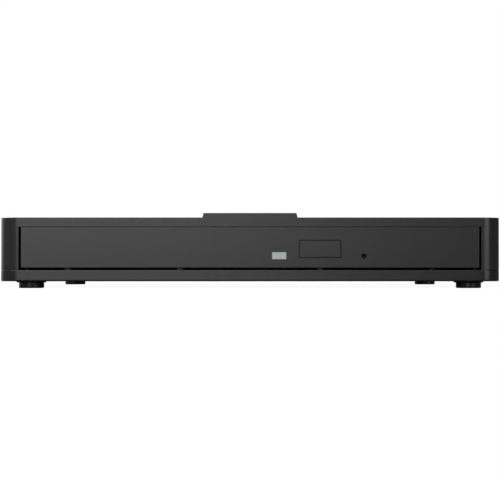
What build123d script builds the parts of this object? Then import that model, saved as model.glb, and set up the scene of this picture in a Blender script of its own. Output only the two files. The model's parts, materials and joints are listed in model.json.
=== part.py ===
from build123d import *

import os
from math import cos, pi, radians, sin

# A slim external disc drive: a three-part casing around a slim drive whose drawer carries the
# spindle, the laser pickup and the board. Units are millimetres, +Z is up, the front faces -Y,
# and the origin lies on the table under the middle of the casing.

# Disc and drawer, from which the widths and depths follow
disc_diameter = 120.0
disc_clearance = 0.7
small_disc_diameter = 80.0
side_rim = 1.2
front_rim = 0.6
tray_tail = 59.5
tray_travel = 126.0
tray_wall = 1.2
tray_front_wall = 1.5
finger_radius = 9.0
wing_clearance = 0.6

# Drive sheet metal and its bays
sheet = 0.5
skirt_sheet = 0.45
skirt_drop = 2.9
socket_bay = 5.2
rear_bay = 12.5
drive_front_gap = 0.5

# Heights inside the drive, from the floor up
drive_lift = 2.77
ribbon_room = 0.6
plate_sheet = 0.35
under_deck_room = 3.65
deck_thickness = 1.1
recess_depth = 1.8
small_recess_depth = 0.45
head_room = 1.0

# Casing
foot_height = 1.97
pan_height = 3.17
frame_height = 12.11
lid_height = 2.56
wall = 1.8
floor_thickness = 1.8
roof_thickness = 1.6
column_width = 5.65
corner_radius = 5.6
pan_round = 0.4
lid_round = 0.15
lip_round = 0.2
seam_gap = 0.03
seam_depth = 0.3
band_width = 26.6
band_height = 1.25
band_draft = 0.33
jamb_depth = 5.0
jamb_thickness = 1.1

# Feet and casing screws
foot_inset = 7.8
foot_front_inset = 11.5
foot_radius = 3.58
foot_fit = 0.08
foot_socket = 1.0
foot_round = 0.35
collar_radius = 4.45
collar_height = 0.4
screw_inset = 4.2
screw_y = 48.0
boss_radius = 2.2
boss_height = 3.1
screw_radius = 1.0
screw_clearance = 0.15
screw_head_radius = 1.85
screw_head_height = 1.1
screw_head_sink = 0.3
screw_length = 7.0
pilot_fit = 0.02

# Bezel and what shows on it
bezel_overlap = 1.0
bezel_depth = 4.2
bezel_side_gap = 0.55
bezel_lower_gap = 0.6
bezel_upper_gap = 0.1
bezel_face = 1.8
bezel_rim = 1.2
bezel_round = 0.15
bezel_rib = 1.2
window_x = 8.15
window_height_above_bezel = 3.39
window_width = 3.9
window_tall = 1.95
window_fit = 0.04
button_x = 19.55
button_above_bezel = 5.29
button_width = 11.62
button_tall = 4.75
button_gap = 0.17
button_flange = 0.7
button_flange_thickness = 0.6
button_flange_gap = 0.15
button_travel = 0.4
pinhole_x = 31.8
pinhole_above_bezel = 3.25
pinhole_radius = 0.55
pinhole_mouth = 0.75
pinhole_lead = 0.35

# Telescopic rails
guide_low = 1.5
guide_height = 3.6
guide_width = 2.3
guide_web = 0.7
guide_flange = 0.6
guide_rear_gap = 1.7
rail_sheet = 0.4
rail_play = 0.15
rail_side_play = 0.2
rail_reach = 0.3
tongue_reach = 1.3
wing_gap = 0.2
guide_setback = 1.8
rail_setback = 0.5
rail_stand = 0.4
tongue_front_inset = 4.3
tongue_rear_inset = 0.5

# Spindle
hub_radius = 7.45
hub_window = 17.0
seat_lift = 0.4
friction_thickness = 0.25
friction_inner = 9.5
friction_outer = 12.3
rotor_radius = 12.5
rotor_shell = 0.6
hub_height = 2.15
hub_chamfer = 0.5
shaft_radius = 1.0
shaft_play = 0.03
bush_radius = 2.6
stator_radius = 10.9
claw_width = 2.3
claw_play = 0.15
claw_reach = 0.35
claw_travel = 0.5
claw_inner = 4.4
claw_spring_room = 0.4
claw_turns = (0.0, 120.0, 240.0)

# Traverse unit, in its own frame: out is along the sled's travel, across is square to it
traverse_angle = 225.0
lens_start = 24.0
lens_margin = 3.0
frame_lift = 0.2
frame_plate = 0.7
frame_rim = 2.2
base_plate = 0.45
rod_radius = 1.0
rod_fit = 0.03
rod_height = 1.45
holder_half = 1.6
holder_length = 1.2
holder_gap = 0.3
holder_wall_gap = 1.602
screw_from_rod = 5.4
screw_core = 0.8
screw_outer = 1.15
screw_pitch = 3.0
journal_radius = 0.6
sled_from_rod = 2.6
sled_play = 0.6
sled_back = 8.5
sled_front = 7.0
sled_lift = 0.15
lug_length = 4.0
damper_radius = 2.8
damper_waist = 2.0
damper_bore = 1.25

# Latch and ejector
latch_x = 46.0
latch_from_front = 23.3
latch_turn = 10.0
post_aside = 5.2
post_ahead = 0.5
claw_drop = 13.5
post_radius = 0.9
lever_thickness = 1.6
ejector_x = -50.0
ejector_radius = 1.1
ejector_travel = 10.0

# Boards and sockets
board_thickness = 0.8
bridge_board_thickness = 1.0
ribbon_thickness = 0.15
ribbon_left = -10.0
ribbon_right = 14.0
ribbon_spare = 7.0
usb_x = 5.0
usb_width = 8.94
usb_tall = 3.16
usb_length = 7.1
usb_shell = 0.3

# Widths that follow
disc_radius = disc_diameter / 2
recess_radius = disc_radius + disc_clearance
tray_half = recess_radius + side_rim
drive_inner_half = tray_half + wing_clearance
drive_half = drive_inner_half + sheet
bezel_half = drive_half + bezel_overlap
mouth_half = bezel_half + bezel_side_gap
case_half = mouth_half + column_width
case_width = 2 * case_half

# Depths that follow
tray_length = front_rim + recess_radius + tray_tail
case_depth = bezel_depth + tray_length + socket_bay + sheet + rear_bay + wall
front = -case_depth / 2
rear = case_depth / 2
bezel_back = front + bezel_depth
tray_front = bezel_back
spindle_y = tray_front + front_rim + recess_radius
tray_rear = spindle_y + tray_tail
drive_front = bezel_back + drive_front_gap
drive_rear = tray_rear + socket_bay + sheet

# Heights that follow
pan_bottom = foot_height
floor_top = pan_bottom + floor_thickness
pan_top = pan_bottom + pan_height
frame_top = pan_top + frame_height
lid_top = frame_top + lid_height
roof_bottom = lid_top - roof_thickness
bezel_bottom = pan_top + bezel_lower_gap
bezel_top = frame_top - bezel_upper_gap
drive_bottom = floor_top + drive_lift
drive_floor = drive_bottom + sheet
plate_bottom = drive_floor + ribbon_room
plate_top = plate_bottom + plate_sheet
deck_bottom = plate_top + under_deck_room
recess_floor = deck_bottom + deck_thickness
tray_top = recess_floor + recess_depth
drive_ceiling = tray_top + head_room
drive_top = drive_ceiling + sheet
guide_bottom = drive_floor + guide_low
guide_top = guide_bottom + guide_height
wing_bottom = guide_top + wing_gap

LOW = (Align.MIN, Align.MIN, Align.MIN)
STAND = (Align.CENTER, Align.CENTER, Align.MIN)

os.makedirs("parts", exist_ok=True)


def save(builder, name):
    """Labels a finished piece and writes it as a STEP file."""
    builder.part.label = name
    export_step(builder.part, f"parts/{name}.step")


def slab(low, high, mode=Mode.ADD, frame=Plane.XY):
    """A block between its lowest and highest corner, in a frame."""
    size = [b - a for a, b in zip(low, high)]
    with Locations(frame):
        with Locations(tuple(low)):
            Box(*size, align=LOW, mode=mode)


def post(radius, spot, bottom, top, mode=Mode.ADD, frame=Plane.XY):
    """An upright cylinder between two heights, in a frame."""
    with Locations(frame):
        with Locations((spot[0], spot[1], bottom)):
            Cylinder(radius, top - bottom, align=STAND, mode=mode)


def bar(radius, start, end, mode=Mode.ADD):
    """A cylinder from one point to another."""
    span = Vector(*end) - Vector(*start)
    with Locations(Plane(origin=start, z_dir=span)):
        Cylinder(radius, span.length, align=STAND, mode=mode)


def footprint(inset=0.0, mode=Mode.ADD):
    """The casing's outline seen from above, drawn in by an inset."""
    RectangleRounded(
        case_width - 2 * inset, case_depth - 2 * inset, corner_radius - inset, mode=mode
    )


def coil(start, end, radius, wire, turns):
    """A coil spring from one point to another, on the line between them."""
    span = Vector(*end) - Vector(*start)
    rise = span.length - wire
    axis = Plane(origin=Vector(*start) + span.normalized() * (wire / 2), z_dir=span)
    path = axis * Helix(pitch=rise / turns, height=rise, radius=radius)
    with BuildSketch(Plane(origin=path @ 0, z_dir=path % 0)) as section:
        Circle(wire / 2)
    sweep(section.sketch, path=path, is_frenet=True)


def face_plane(y):
    """An upright plane that faces the front, whose own x and y are the part's X and Z."""
    return Plane(origin=(0, y, 0), x_dir=(1, 0, 0), z_dir=(0, -1, 0))


case_front = face_plane(front)

# Bottom cover: floor, low walls, foot collars, screw bosses, ribs that carry the drive
foot_x = case_half - foot_inset
foot_y = rear - foot_front_inset
foot_spots = [(sx * foot_x, sy * foot_y) for sy in (-1, 1) for sx in (-1, 1)]
screw_x = case_half - screw_inset
screw_spots = [(sx * screw_x, sy * screw_y) for sy in (-1, 1) for sx in (-1, 1)]
boss_top = floor_top + boss_height
head_seat = pan_bottom + screw_head_sink + screw_head_height
rib_width = 1.5
rib_inset = 6.0
rib_lines = (-52.0, -20.0, 20.0, 52.0)
stop_clearance = 0.1
stop_width = 1.4
stop_length = 8.0
stop_height = 6.0
stop_y = 20.0
bridge_lift = 3.57
bridge_gap = 1.8
bridge_rear_gap = 0.4
bridge_bottom = floor_top + bridge_lift
bridge_front = drive_rear + bridge_gap
bridge_rear = rear - wall - bridge_rear_gap
bridge_left = -12.0
bridge_right = 58.0
standoff_inset = 4.0
standoff_from_front = 6.0
standoff_radius = 1.8
standoff_spots = [
    (x, bridge_front + standoff_from_front)
    for x in (bridge_left + standoff_inset, bridge_right - standoff_inset)
]
pin_radius = 1.2
pin_clearance = 0.06
pin_boss = 1.8
pin_spots = ((-20.0, -40.0), (20.0, 40.0))
label_width = 62.0
label_depth = 34.0
label_sink = 0.25

with BuildPart() as bottom_cover:
    with BuildSketch(Plane.XY.offset(pan_bottom)):
        footprint()
    extrude(amount=pan_height)
    fillet(bottom_cover.edges().group_by(Axis.Z)[0], pan_round)
    fillet(bottom_cover.edges().group_by(Axis.Z)[-1], lip_round)
    with BuildSketch(Plane.XY.offset(floor_top)):
        footprint(wall)
    extrude(amount=pan_height, mode=Mode.SUBTRACT)
    for spot in foot_spots:
        with Locations((*spot, pan_bottom - collar_height)):
            Cone(collar_radius - collar_height, collar_radius, collar_height, align=STAND)
        socket_floor = pan_bottom - collar_height
        post(foot_radius + foot_fit, spot, socket_floor, socket_floor + foot_socket, Mode.SUBTRACT)
    for spot in screw_spots:
        post(boss_radius, spot, floor_top, boss_top)
        post(screw_head_radius + screw_clearance, spot, pan_bottom, head_seat, Mode.SUBTRACT)
        post(screw_radius + screw_clearance, spot, head_seat, boss_top, Mode.SUBTRACT)
    for x in rib_lines:
        slab(
            (x - rib_width / 2, drive_front + rib_inset, floor_top),
            (x + rib_width / 2, drive_rear - rib_inset, drive_bottom),
        )
    for side in (-1, 1):
        inner = drive_half + skirt_sheet + stop_clearance
        reach = sorted((side * inner, side * (inner + stop_width)))
        for y in (-stop_y, stop_y):
            slab(
                (reach[0], y - stop_length / 2, floor_top),
                (reach[1], y + stop_length / 2, floor_top + stop_height),
            )
    for spot in standoff_spots:
        post(standoff_radius, spot, floor_top, bridge_bottom)
        post(screw_radius + pilot_fit, spot, floor_top, bridge_bottom, Mode.SUBTRACT)
    for spot in pin_spots:
        post(pin_boss, spot, floor_top, drive_bottom)
        post(pin_radius, spot, drive_bottom, drive_floor - pin_clearance)
    slab(
        (-label_width / 2, -label_depth / 2, pan_bottom),
        (label_width / 2, label_depth / 2, pan_bottom + label_sink),
        Mode.SUBTRACT,
    )
save(bottom_cover, "bottom_cover")

# Rubber feet, pushed up into the collars
foot_top = pan_bottom - collar_height + foot_socket
with BuildPart() as rubber_feet:
    for spot in foot_spots:
        post(foot_radius, spot, 0, foot_top)
    fillet(rubber_feet.edges().group_by(Axis.Z)[0], foot_round)
save(rubber_feet, "rubber_feet")

# Casing screws, from below through the bottom cover into the top cover's pillars
drive_cross = 0.5


def machine_screw(spot, under_head, reach, up=1, head_radius=None, head_height=None, radius=None):
    """A pan-head screw with a cross recess; reach is the shank below the head's seat."""
    head = head_radius or screw_head_radius
    tall = head_height or screw_head_height
    stem = radius or screw_radius
    ends = sorted((under_head, under_head - up * tall))
    post(head, spot, *ends)
    post(stem, spot, *sorted((under_head, under_head + up * reach)))
    outer = under_head - up * tall
    deep = sorted((outer, outer + up * tall / 2))
    for long_x, long_y in ((head, drive_cross), (drive_cross, head)):
        slab(
            (spot[0] - long_x / 2, spot[1] - long_y / 2, deep[0]),
            (spot[0] + long_x / 2, spot[1] + long_y / 2, deep[1]),
            Mode.SUBTRACT,
        )


with BuildPart() as cover_screws:
    for spot in screw_spots:
        machine_screw(spot, head_seat, screw_length)
save(cover_screws, "cover_screws")

# Side frame: the walls between the two covers, open at the front for the bezel
usb_bottom = bridge_bottom + bridge_board_thickness
usb_middle = usb_bottom + usb_tall / 2
front_search = 0.01
port_clearance = 0.2

with BuildPart() as side_frame:
    with BuildSketch(Plane.XY.offset(pan_top)):
        footprint(seam_depth)
        footprint(wall, mode=Mode.SUBTRACT)
    extrude(amount=frame_height)
    with BuildSketch(Plane.XY.offset(pan_top + seam_gap)):
        footprint()
        footprint(seam_depth, mode=Mode.SUBTRACT)
    extrude(amount=frame_height - 2 * seam_gap)
    slab((-mouth_half, front, pan_top), (mouth_half, front + wall, frame_top), Mode.SUBTRACT)
    for side in (-1, 1):
        reach = sorted((side * mouth_half, side * (mouth_half + jamb_thickness)))
        slab(
            (reach[0], front + wall / 2, pan_top),
            (reach[1], front + jamb_depth, frame_top),
        )
    corners = side_frame.edges().filter_by(Axis.Z).filter_by_position(Axis.Y, front, front + front_search)
    fillet(corners, lip_round)
    with BuildSketch(face_plane(rear)):
        with Locations((usb_x, usb_middle)):
            RectangleRounded(
                usb_width + 2 * port_clearance,
                usb_tall + 2 * port_clearance,
                usb_tall / 2,
            )
    extrude(amount=wall, mode=Mode.SUBTRACT)
save(side_frame, "side_frame")

# Top cover: lid with a raised band from front to back, and pillars for the casing screws
band_bury = 0.05
band_root = lid_top - lid_round - band_bury
pilot_spare = 0.5
pilot_top = head_seat + screw_length + pilot_spare
with BuildPart() as band:
    with BuildSketch(case_front):
        with BuildLine():
            Polyline(
                (-band_width / 2, band_root),
                (-band_width / 2, lid_top),
                (-band_width / 2 + band_draft, lid_top + band_height),
                (band_width / 2 - band_draft, lid_top + band_height),
                (band_width / 2, lid_top),
                (band_width / 2, band_root),
                close=True,
            )
        make_face()
    extrude(amount=-case_depth)
    fillet(band.edges().group_by(Axis.Z)[-1], lip_round)

with BuildPart() as top_cover:
    with BuildSketch(Plane.XY.offset(frame_top)):
        footprint()
    extrude(amount=lid_height)
    fillet(top_cover.edges().group_by(Axis.Z)[-1], lid_round)
    add(band.part)
    with BuildSketch(Plane.XY.offset(frame_top)):
        footprint(wall)
    extrude(amount=lid_height - roof_thickness, mode=Mode.SUBTRACT)
    slab(
        (-band_width / 2 + wall, front + wall, roof_bottom),
        (band_width / 2 - wall, rear - wall, roof_bottom + band_height),
        Mode.SUBTRACT,
    )
    for spot in screw_spots:
        post(boss_radius, spot, boss_top, roof_bottom)
        post(screw_radius + pilot_fit, spot, boss_top, pilot_top, Mode.SUBTRACT)
save(top_cover, "top_cover")

# Foam pads that hold the drive down
pad_width = 14.0
pad_from_front = 10.8
pad_from_rear = 12.2
front_pad_from_side = 11.5
rear_pad_from_side = 14.5
front_pad_x = drive_inner_half - front_pad_from_side
rear_pad_x = drive_inner_half - rear_pad_from_side
pad_spots = [
    (side * x, y)
    for x, y in ((front_pad_x, drive_front + pad_from_front), (rear_pad_x, drive_rear - pad_from_rear))
    for side in (-1, 1)
]
with BuildPart() as foam_pads:
    for x, y in pad_spots:
        slab(
            (x - pad_width / 2, y - pad_width / 2, drive_top),
            (x + pad_width / 2, y + pad_width / 2, roof_bottom),
        )
save(foam_pads, "foam_pads")

# Drive lower case: floor, side walls and rear wall folded from one sheet
socket_left = 20.0
socket_right = 53.0
socket_height = 4.5
socket_bottom = drive_floor + board_thickness
socket_top = socket_bottom + socket_height
socket_play = 0.2
bead_x = 36.0
bead_width = 6.0
bead_depth = 0.4
bead_front = -50.0
bead_rear = 45.0
tab_width = 6.0
tab_depth = 5.0
tab_screw_inset = 3.0
case_screw_play = 0.05
case_head_radius = 1.5
case_head_height = 0.4
case_screw_radius = 0.8
case_screw_spots = [
    (sx * (drive_inner_half - tab_screw_inset), y)
    for y in (drive_front + tab_depth / 2, drive_rear - sheet - tab_depth / 2)
    for sx in (-1, 1)
]

with BuildPart() as lower_case:
    slab((-drive_half, drive_front, drive_bottom), (drive_half, drive_rear, drive_ceiling))
    slab(
        (-drive_inner_half, drive_front, drive_floor),
        (drive_inner_half, drive_rear - sheet, drive_ceiling),
        Mode.SUBTRACT,
    )
    for side in (-1, 1):
        middle = side * bead_x
        slab(
            (middle - bead_width / 2, bead_front, drive_bottom - bead_depth),
            (middle + bead_width / 2, bead_rear, drive_bottom),
        )
        slab(
            (middle - bead_width / 2 + sheet, bead_front + sheet, drive_floor - bead_depth),
            (middle + bead_width / 2 - sheet, bead_rear - sheet, drive_floor),
            Mode.SUBTRACT,
        )
        wall_x = side * drive_inner_half
        reach = sorted((wall_x, wall_x - side * tab_width))
        for y in (drive_front, drive_rear - sheet - tab_depth):
            slab((reach[0], y, drive_ceiling - sheet), (reach[1], y + tab_depth, drive_ceiling))
    for spot in case_screw_spots:
        hole = case_screw_radius + case_screw_play
        post(hole, spot, drive_ceiling - sheet, drive_ceiling, Mode.SUBTRACT)
    slab(
        (socket_left - socket_play, drive_rear - sheet, socket_bottom - socket_play),
        (socket_right + socket_play, drive_rear, socket_top + socket_play),
        Mode.SUBTRACT,
    )
    for spot in pin_spots:
        post(pin_radius + pin_clearance, spot, drive_bottom, drive_floor, Mode.SUBTRACT)
save(lower_case, "lower_case")

# Drive upper case: a lid sheet with turned-down edges and a pressed ring
ring_from_disc_edge = 4.0
ring_outer = disc_radius - ring_from_disc_edge
ring_width = 6.0
ring_lift = 0.4
with BuildPart() as upper_case:
    edge = drive_half + skirt_sheet
    slab((-edge, drive_front, drive_ceiling), (edge, drive_rear + skirt_sheet, drive_top))
    for side in (-1, 1):
        reach = sorted((side * drive_half, side * edge))
        slab(
            (reach[0], drive_front, drive_ceiling - skirt_drop + sheet),
            (reach[1], drive_rear + skirt_sheet, drive_ceiling),
        )
    slab(
        (-drive_half, drive_rear, drive_ceiling - skirt_drop + sheet),
        (drive_half, drive_rear + skirt_sheet, drive_ceiling),
    )
    with BuildSketch(Plane.XY.offset(drive_top)):
        with Locations((0, spindle_y)):
            Circle(ring_outer)
            Circle(ring_outer - ring_width, mode=Mode.SUBTRACT)
    extrude(amount=ring_lift)
    with BuildSketch(Plane.XY.offset(drive_ceiling)):
        with Locations((0, spindle_y)):
            Circle(ring_outer - sheet)
            Circle(ring_outer - ring_width + sheet, mode=Mode.SUBTRACT)
    extrude(amount=ring_lift, mode=Mode.SUBTRACT)
    for spot in case_screw_spots:
        post(case_screw_radius + case_screw_play, spot, drive_ceiling, drive_top, Mode.SUBTRACT)
save(upper_case, "upper_case")

with BuildPart() as case_screws:
    for spot in case_screw_spots:
        machine_screw(
            spot,
            drive_top,
            2 * sheet,
            -1,
            case_head_radius,
            case_head_height,
            case_screw_radius,
        )
save(case_screws, "case_screws")

# Guides fixed to the lower case and rails that slide in them, each a channel open inwards
guide_front = drive_front + guide_setback
guide_length = drive_rear - sheet - guide_rear_gap - guide_front
rail_front = guide_front + rail_setback
rail_length = tray_rear - rail_front
rail_high = guide_top - guide_flange - rail_play
rail_low = guide_bottom + guide_flange + rail_play
rail_outer = drive_inner_half - guide_web - rail_side_play - rail_stand
guide_inner = drive_inner_half - guide_width
tongue_high = rail_high - rail_sheet - rail_play
tongue_low = rail_low + rail_sheet + rail_play
tongue_outer = rail_outer - rail_sheet - rail_side_play
skirt_half = tongue_outer - tongue_reach


def inward_channel(side, outer, inner, low, high, web, flange):
    """The section of a channel whose open side faces the middle of the drive."""
    middle = (low + high) / 2
    with Locations((side * (outer + inner) / 2, middle)):
        Rectangle(outer - inner, high - low)
    with Locations((side * (outer - web + inner) / 2, middle)):
        Rectangle(outer - web - inner, high - low - 2 * flange, mode=Mode.SUBTRACT)


with BuildPart() as rail_guides:
    for side in (-1, 1):
        with BuildSketch(face_plane(guide_front)):
            inward_channel(
                side, drive_inner_half, guide_inner, guide_bottom, guide_top, guide_web, guide_flange
            )
        extrude(amount=-guide_length)
save(rail_guides, "rail_guides")

for side, hand in ((-1, "left"), (1, "right")):
    with BuildPart() as rail:
        with BuildSketch(face_plane(rail_front)):
            inward_channel(
                side, rail_outer, guide_inner - rail_reach, rail_low, rail_high, rail_sheet, rail_sheet
            )
        extrude(amount=-rail_length)
    save(rail, f"{hand}_rail")

# Traverse frame of reference: origin on the spindle's axis, x outwards along the sled's travel
angle = radians(traverse_angle)
traverse = Plane(origin=(0, spindle_y, 0), x_dir=(cos(angle), sin(angle), 0), z_dir=(0, 0, 1))


def on_traverse(out, across, z=0.0):
    """A point given in the traverse frame, in the part's own frame."""
    return traverse.from_local_coords((out, across, z))


# Drawer: deck with disc recesses, skirt, tongues, posts for what hangs under it
inner_half = skirt_half - tray_wall
inner_front = tray_front + tray_front_wall
inner_rear = tray_rear - tray_wall
window_z = bezel_bottom + window_height_above_bezel
button_z = bezel_bottom + button_above_bezel
pinhole_z = bezel_bottom + pinhole_above_bezel
switch_lift = 2.05
switch_z = plate_top + switch_lift
latch_y = tray_front + latch_from_front
post_x = latch_x + post_aside
post_y = latch_y - claw_drop - post_ahead
sled_travel = disc_radius - lens_margin - lens_start
side_holder_gap = 1.5
side_holder = lens_start + sled_travel + lug_length / 2 + side_holder_gap
side_end = side_holder + holder_length
side_holder_edge = (holder_wall_gap - inner_half - side_end * cos(angle)) / sin(angle)
rod_across = side_holder_edge - holder_half
screw_across = rod_across + screw_from_rod
sled_half_width = rod_across - sled_from_rod
window_outer = lens_start + sled_travel + sled_front + sled_play
slot_spare = 4.5
slot_end = lens_start + sled_travel + slot_spare
slot_half = 13.0
slot_round = 3.0
damper_from_window = 4.7
outer_damper = window_outer + damper_from_window
damper_spots = ((-14.0, -17.0), (-14.0, 17.0), (outer_damper, 0.0))
damper_rise = 1.25
damper_pin_play = 0.05
damper_pin_end_gap = 0.1
damper_top = plate_top + damper_rise
shoulder_radius = 2.2
board_rear_gap = 1.3
board_lift = 1.05
board_screw_inset = 3.0
board_post_radius = 2.0
pilot_roof = 0.3
board_front = 24.0
board_rear = inner_rear - board_rear_gap
board_left = -40.0
board_right = 44.0
board_bottom = plate_top + board_lift
board_top = board_bottom + board_thickness
board_hole_inset = 4.0
board_spots = [
    (x, y)
    for x in (board_left + board_hole_inset, board_right - board_hole_inset)
    for y in (board_front + board_screw_inset, board_rear - board_screw_inset)
]
post_lane = 3.7
plate_right = post_x - post_lane
plate_screw_from_skirt = 5.3
left_screw_x = plate_screw_from_skirt - skirt_half
plate_screw_spots = ((left_screw_x, 8.0), (-30.0, 20.6), (40.0, 5.0), (22.0, -52.0))
plate_screw_radius = 0.8
board_screw_radius = 0.7
switch_board_left = 3.0
switch_board_right = 27.0
switch_board_depth = 9.0
switch_board_lift = 0.3
switch_board_post_radius = 1.3
switch_board_post_inset = 2.0
switch_board_bottom = plate_top + switch_board_lift
clip_spots = (-50.0, -10.0, 42.0)
clip_width = 5.0
clip_play = 0.2
clip_lift = 1.3
clip_bottom = plate_top + clip_lift
clip_thickness = 1.0
clip_barb = 0.6
ejector_lift = 1.8
ejector_z = plate_top + ejector_lift
ejector_play = 0.1
ejector_block_front = 24.0
ejector_block_length = 6.0
ejector_block_half = 2.6
coil_left = 22.0
coil_right = 36.0
coil_half = 4.0
coil_lift = 0.3
coil_bottom = plate_top + coil_lift
coil_top = deck_bottom
plunger_from_pivot = 6.0
plunger_y = latch_y + plunger_from_pivot
pivot_radius = 1.0
lever_lift = 0.25
lever_bottom = plate_top + lever_lift
lever_top = lever_bottom + lever_thickness
post_height = 2.7
post_top = drive_floor + post_height
notch_half = 1.5
lane_clearance = 0.3
finger_turns = (50, 130)
window_side_room = 0.8
window_top_room = 0.5
button_post_room = 1.4
pinhole_room = 0.35

with BuildPart() as disc_tray:
    slab((-tray_half, tray_front, wing_bottom), (tray_half, tray_rear, tray_top))
    slab((-skirt_half, tray_front, plate_top), (skirt_half, tray_rear, wing_bottom))
    slab(
        (-inner_half, inner_front, plate_top),
        (inner_half, inner_rear, deck_bottom),
        Mode.SUBTRACT,
    )
    for side in (-1, 1):
        reach = sorted((side * skirt_half, side * tongue_outer))
        slab(
            (reach[0], tray_front + tongue_front_inset, tongue_low),
            (reach[1], tray_rear - tongue_rear_inset, tongue_high),
        )
    post(recess_radius, (0, spindle_y), recess_floor, tray_top, Mode.SUBTRACT)
    small_radius = small_disc_diameter / 2 + disc_clearance
    small_floor = recess_floor - small_recess_depth
    post(small_radius, (0, spindle_y), small_floor, recess_floor, Mode.SUBTRACT)
    for turn in finger_turns:
        a = radians(turn)
        spot = (recess_radius * cos(a), spindle_y + recess_radius * sin(a))
        post(finger_radius, spot, recess_floor, tray_top, Mode.SUBTRACT)
    with BuildSketch(traverse.offset(deck_bottom)):
        Circle(hub_window)
        with Locations((slot_end / 2, 0)):
            RectangleRounded(slot_end, 2 * slot_half, slot_round)
    extrude(amount=deck_thickness, mode=Mode.SUBTRACT)
    for spot in damper_spots:
        post(shoulder_radius, spot, damper_top, deck_bottom, frame=traverse)
        pin = damper_bore - damper_pin_play
        post(pin, spot, plate_top + damper_pin_end_gap, damper_top, frame=traverse)
    for spot in board_spots:
        post(board_post_radius, spot, board_top, deck_bottom)
        pilot = board_screw_radius + pilot_fit
        post(pilot, spot, board_top, deck_bottom - pilot_roof, Mode.SUBTRACT)
    for spot in plate_screw_spots:
        post(board_post_radius, spot, plate_top, deck_bottom)
        pilot = plate_screw_radius + pilot_fit
        post(pilot, spot, plate_top, deck_bottom - pilot_roof, Mode.SUBTRACT)
    for x in (switch_board_left + switch_board_post_inset, switch_board_right - switch_board_post_inset):
        spot = (x, inner_front + switch_board_depth - switch_board_post_inset)
        post(switch_board_post_radius, spot, switch_board_bottom + board_thickness, deck_bottom)
    post(pivot_radius, (latch_x, latch_y), plate_top, deck_bottom)
    slab(
        (ejector_x - ejector_block_half, ejector_block_front, plate_top),
        (ejector_x + ejector_block_half, ejector_block_front + ejector_block_length, deck_bottom),
    )
    bar(
        ejector_radius + ejector_play,
        (ejector_x, ejector_block_front, ejector_z),
        (ejector_x, tray_rear, ejector_z),
        Mode.SUBTRACT,
    )
    slab(
        (post_x - notch_half, inner_rear, plate_top),
        (post_x + notch_half, tray_rear, post_top + lane_clearance),
        Mode.SUBTRACT,
    )
    slab(
        (window_x - window_width / 2 - window_side_room, tray_front, plate_top),
        (
            window_x + window_width / 2 + window_side_room,
            inner_front,
            window_z + window_tall / 2 + window_top_room,
        ),
        Mode.SUBTRACT,
    )
    slab(
        (button_x - button_post_room, tray_front, switch_z - button_post_room),
        (button_x + button_post_room, inner_front, switch_z + button_post_room),
        Mode.SUBTRACT,
    )
    bar(
        pinhole_radius + pinhole_room,
        (pinhole_x, tray_front, pinhole_z),
        (pinhole_x, inner_front, pinhole_z),
        Mode.SUBTRACT,
    )
    for x in clip_spots:
        slab(
            (x - clip_width / 2 - clip_play, tray_front, clip_bottom - clip_play),
            (
                x + clip_width / 2 + clip_play,
                inner_front,
                clip_bottom + clip_thickness + clip_barb + clip_play,
            ),
            Mode.SUBTRACT,
        )
save(disc_tray, "disc_tray")

# Steel plate under the drawer, which leaves a lane for the latch post
ribbon_slot_inset = 1.5
ribbon_slot_length = 5.0
ribbon_side_room = 0.5
plate_front_gap = 0.3
plate_hole_play = 0.05
plate_peep_radius = 0.6
ribbon_slot_rear = board_rear - ribbon_slot_inset
ribbon_slot_front = ribbon_slot_rear - ribbon_slot_length
with BuildPart() as tray_bottom_plate:
    slab(
        (-skirt_half, tray_front + plate_front_gap, plate_bottom),
        (plate_right, tray_rear, plate_top),
    )
    slab(
        (ribbon_left - ribbon_side_room, ribbon_slot_front, plate_bottom),
        (ribbon_right + ribbon_side_room, ribbon_slot_rear, plate_top),
        Mode.SUBTRACT,
    )
    for spot in plate_screw_spots:
        post(plate_screw_radius + plate_hole_play, spot, plate_bottom, plate_top, Mode.SUBTRACT)
    for out, across in damper_spots:
        post(plate_peep_radius, (out, across), plate_bottom, plate_top, Mode.SUBTRACT, frame=traverse)
save(tray_bottom_plate, "tray_bottom_plate")

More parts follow.
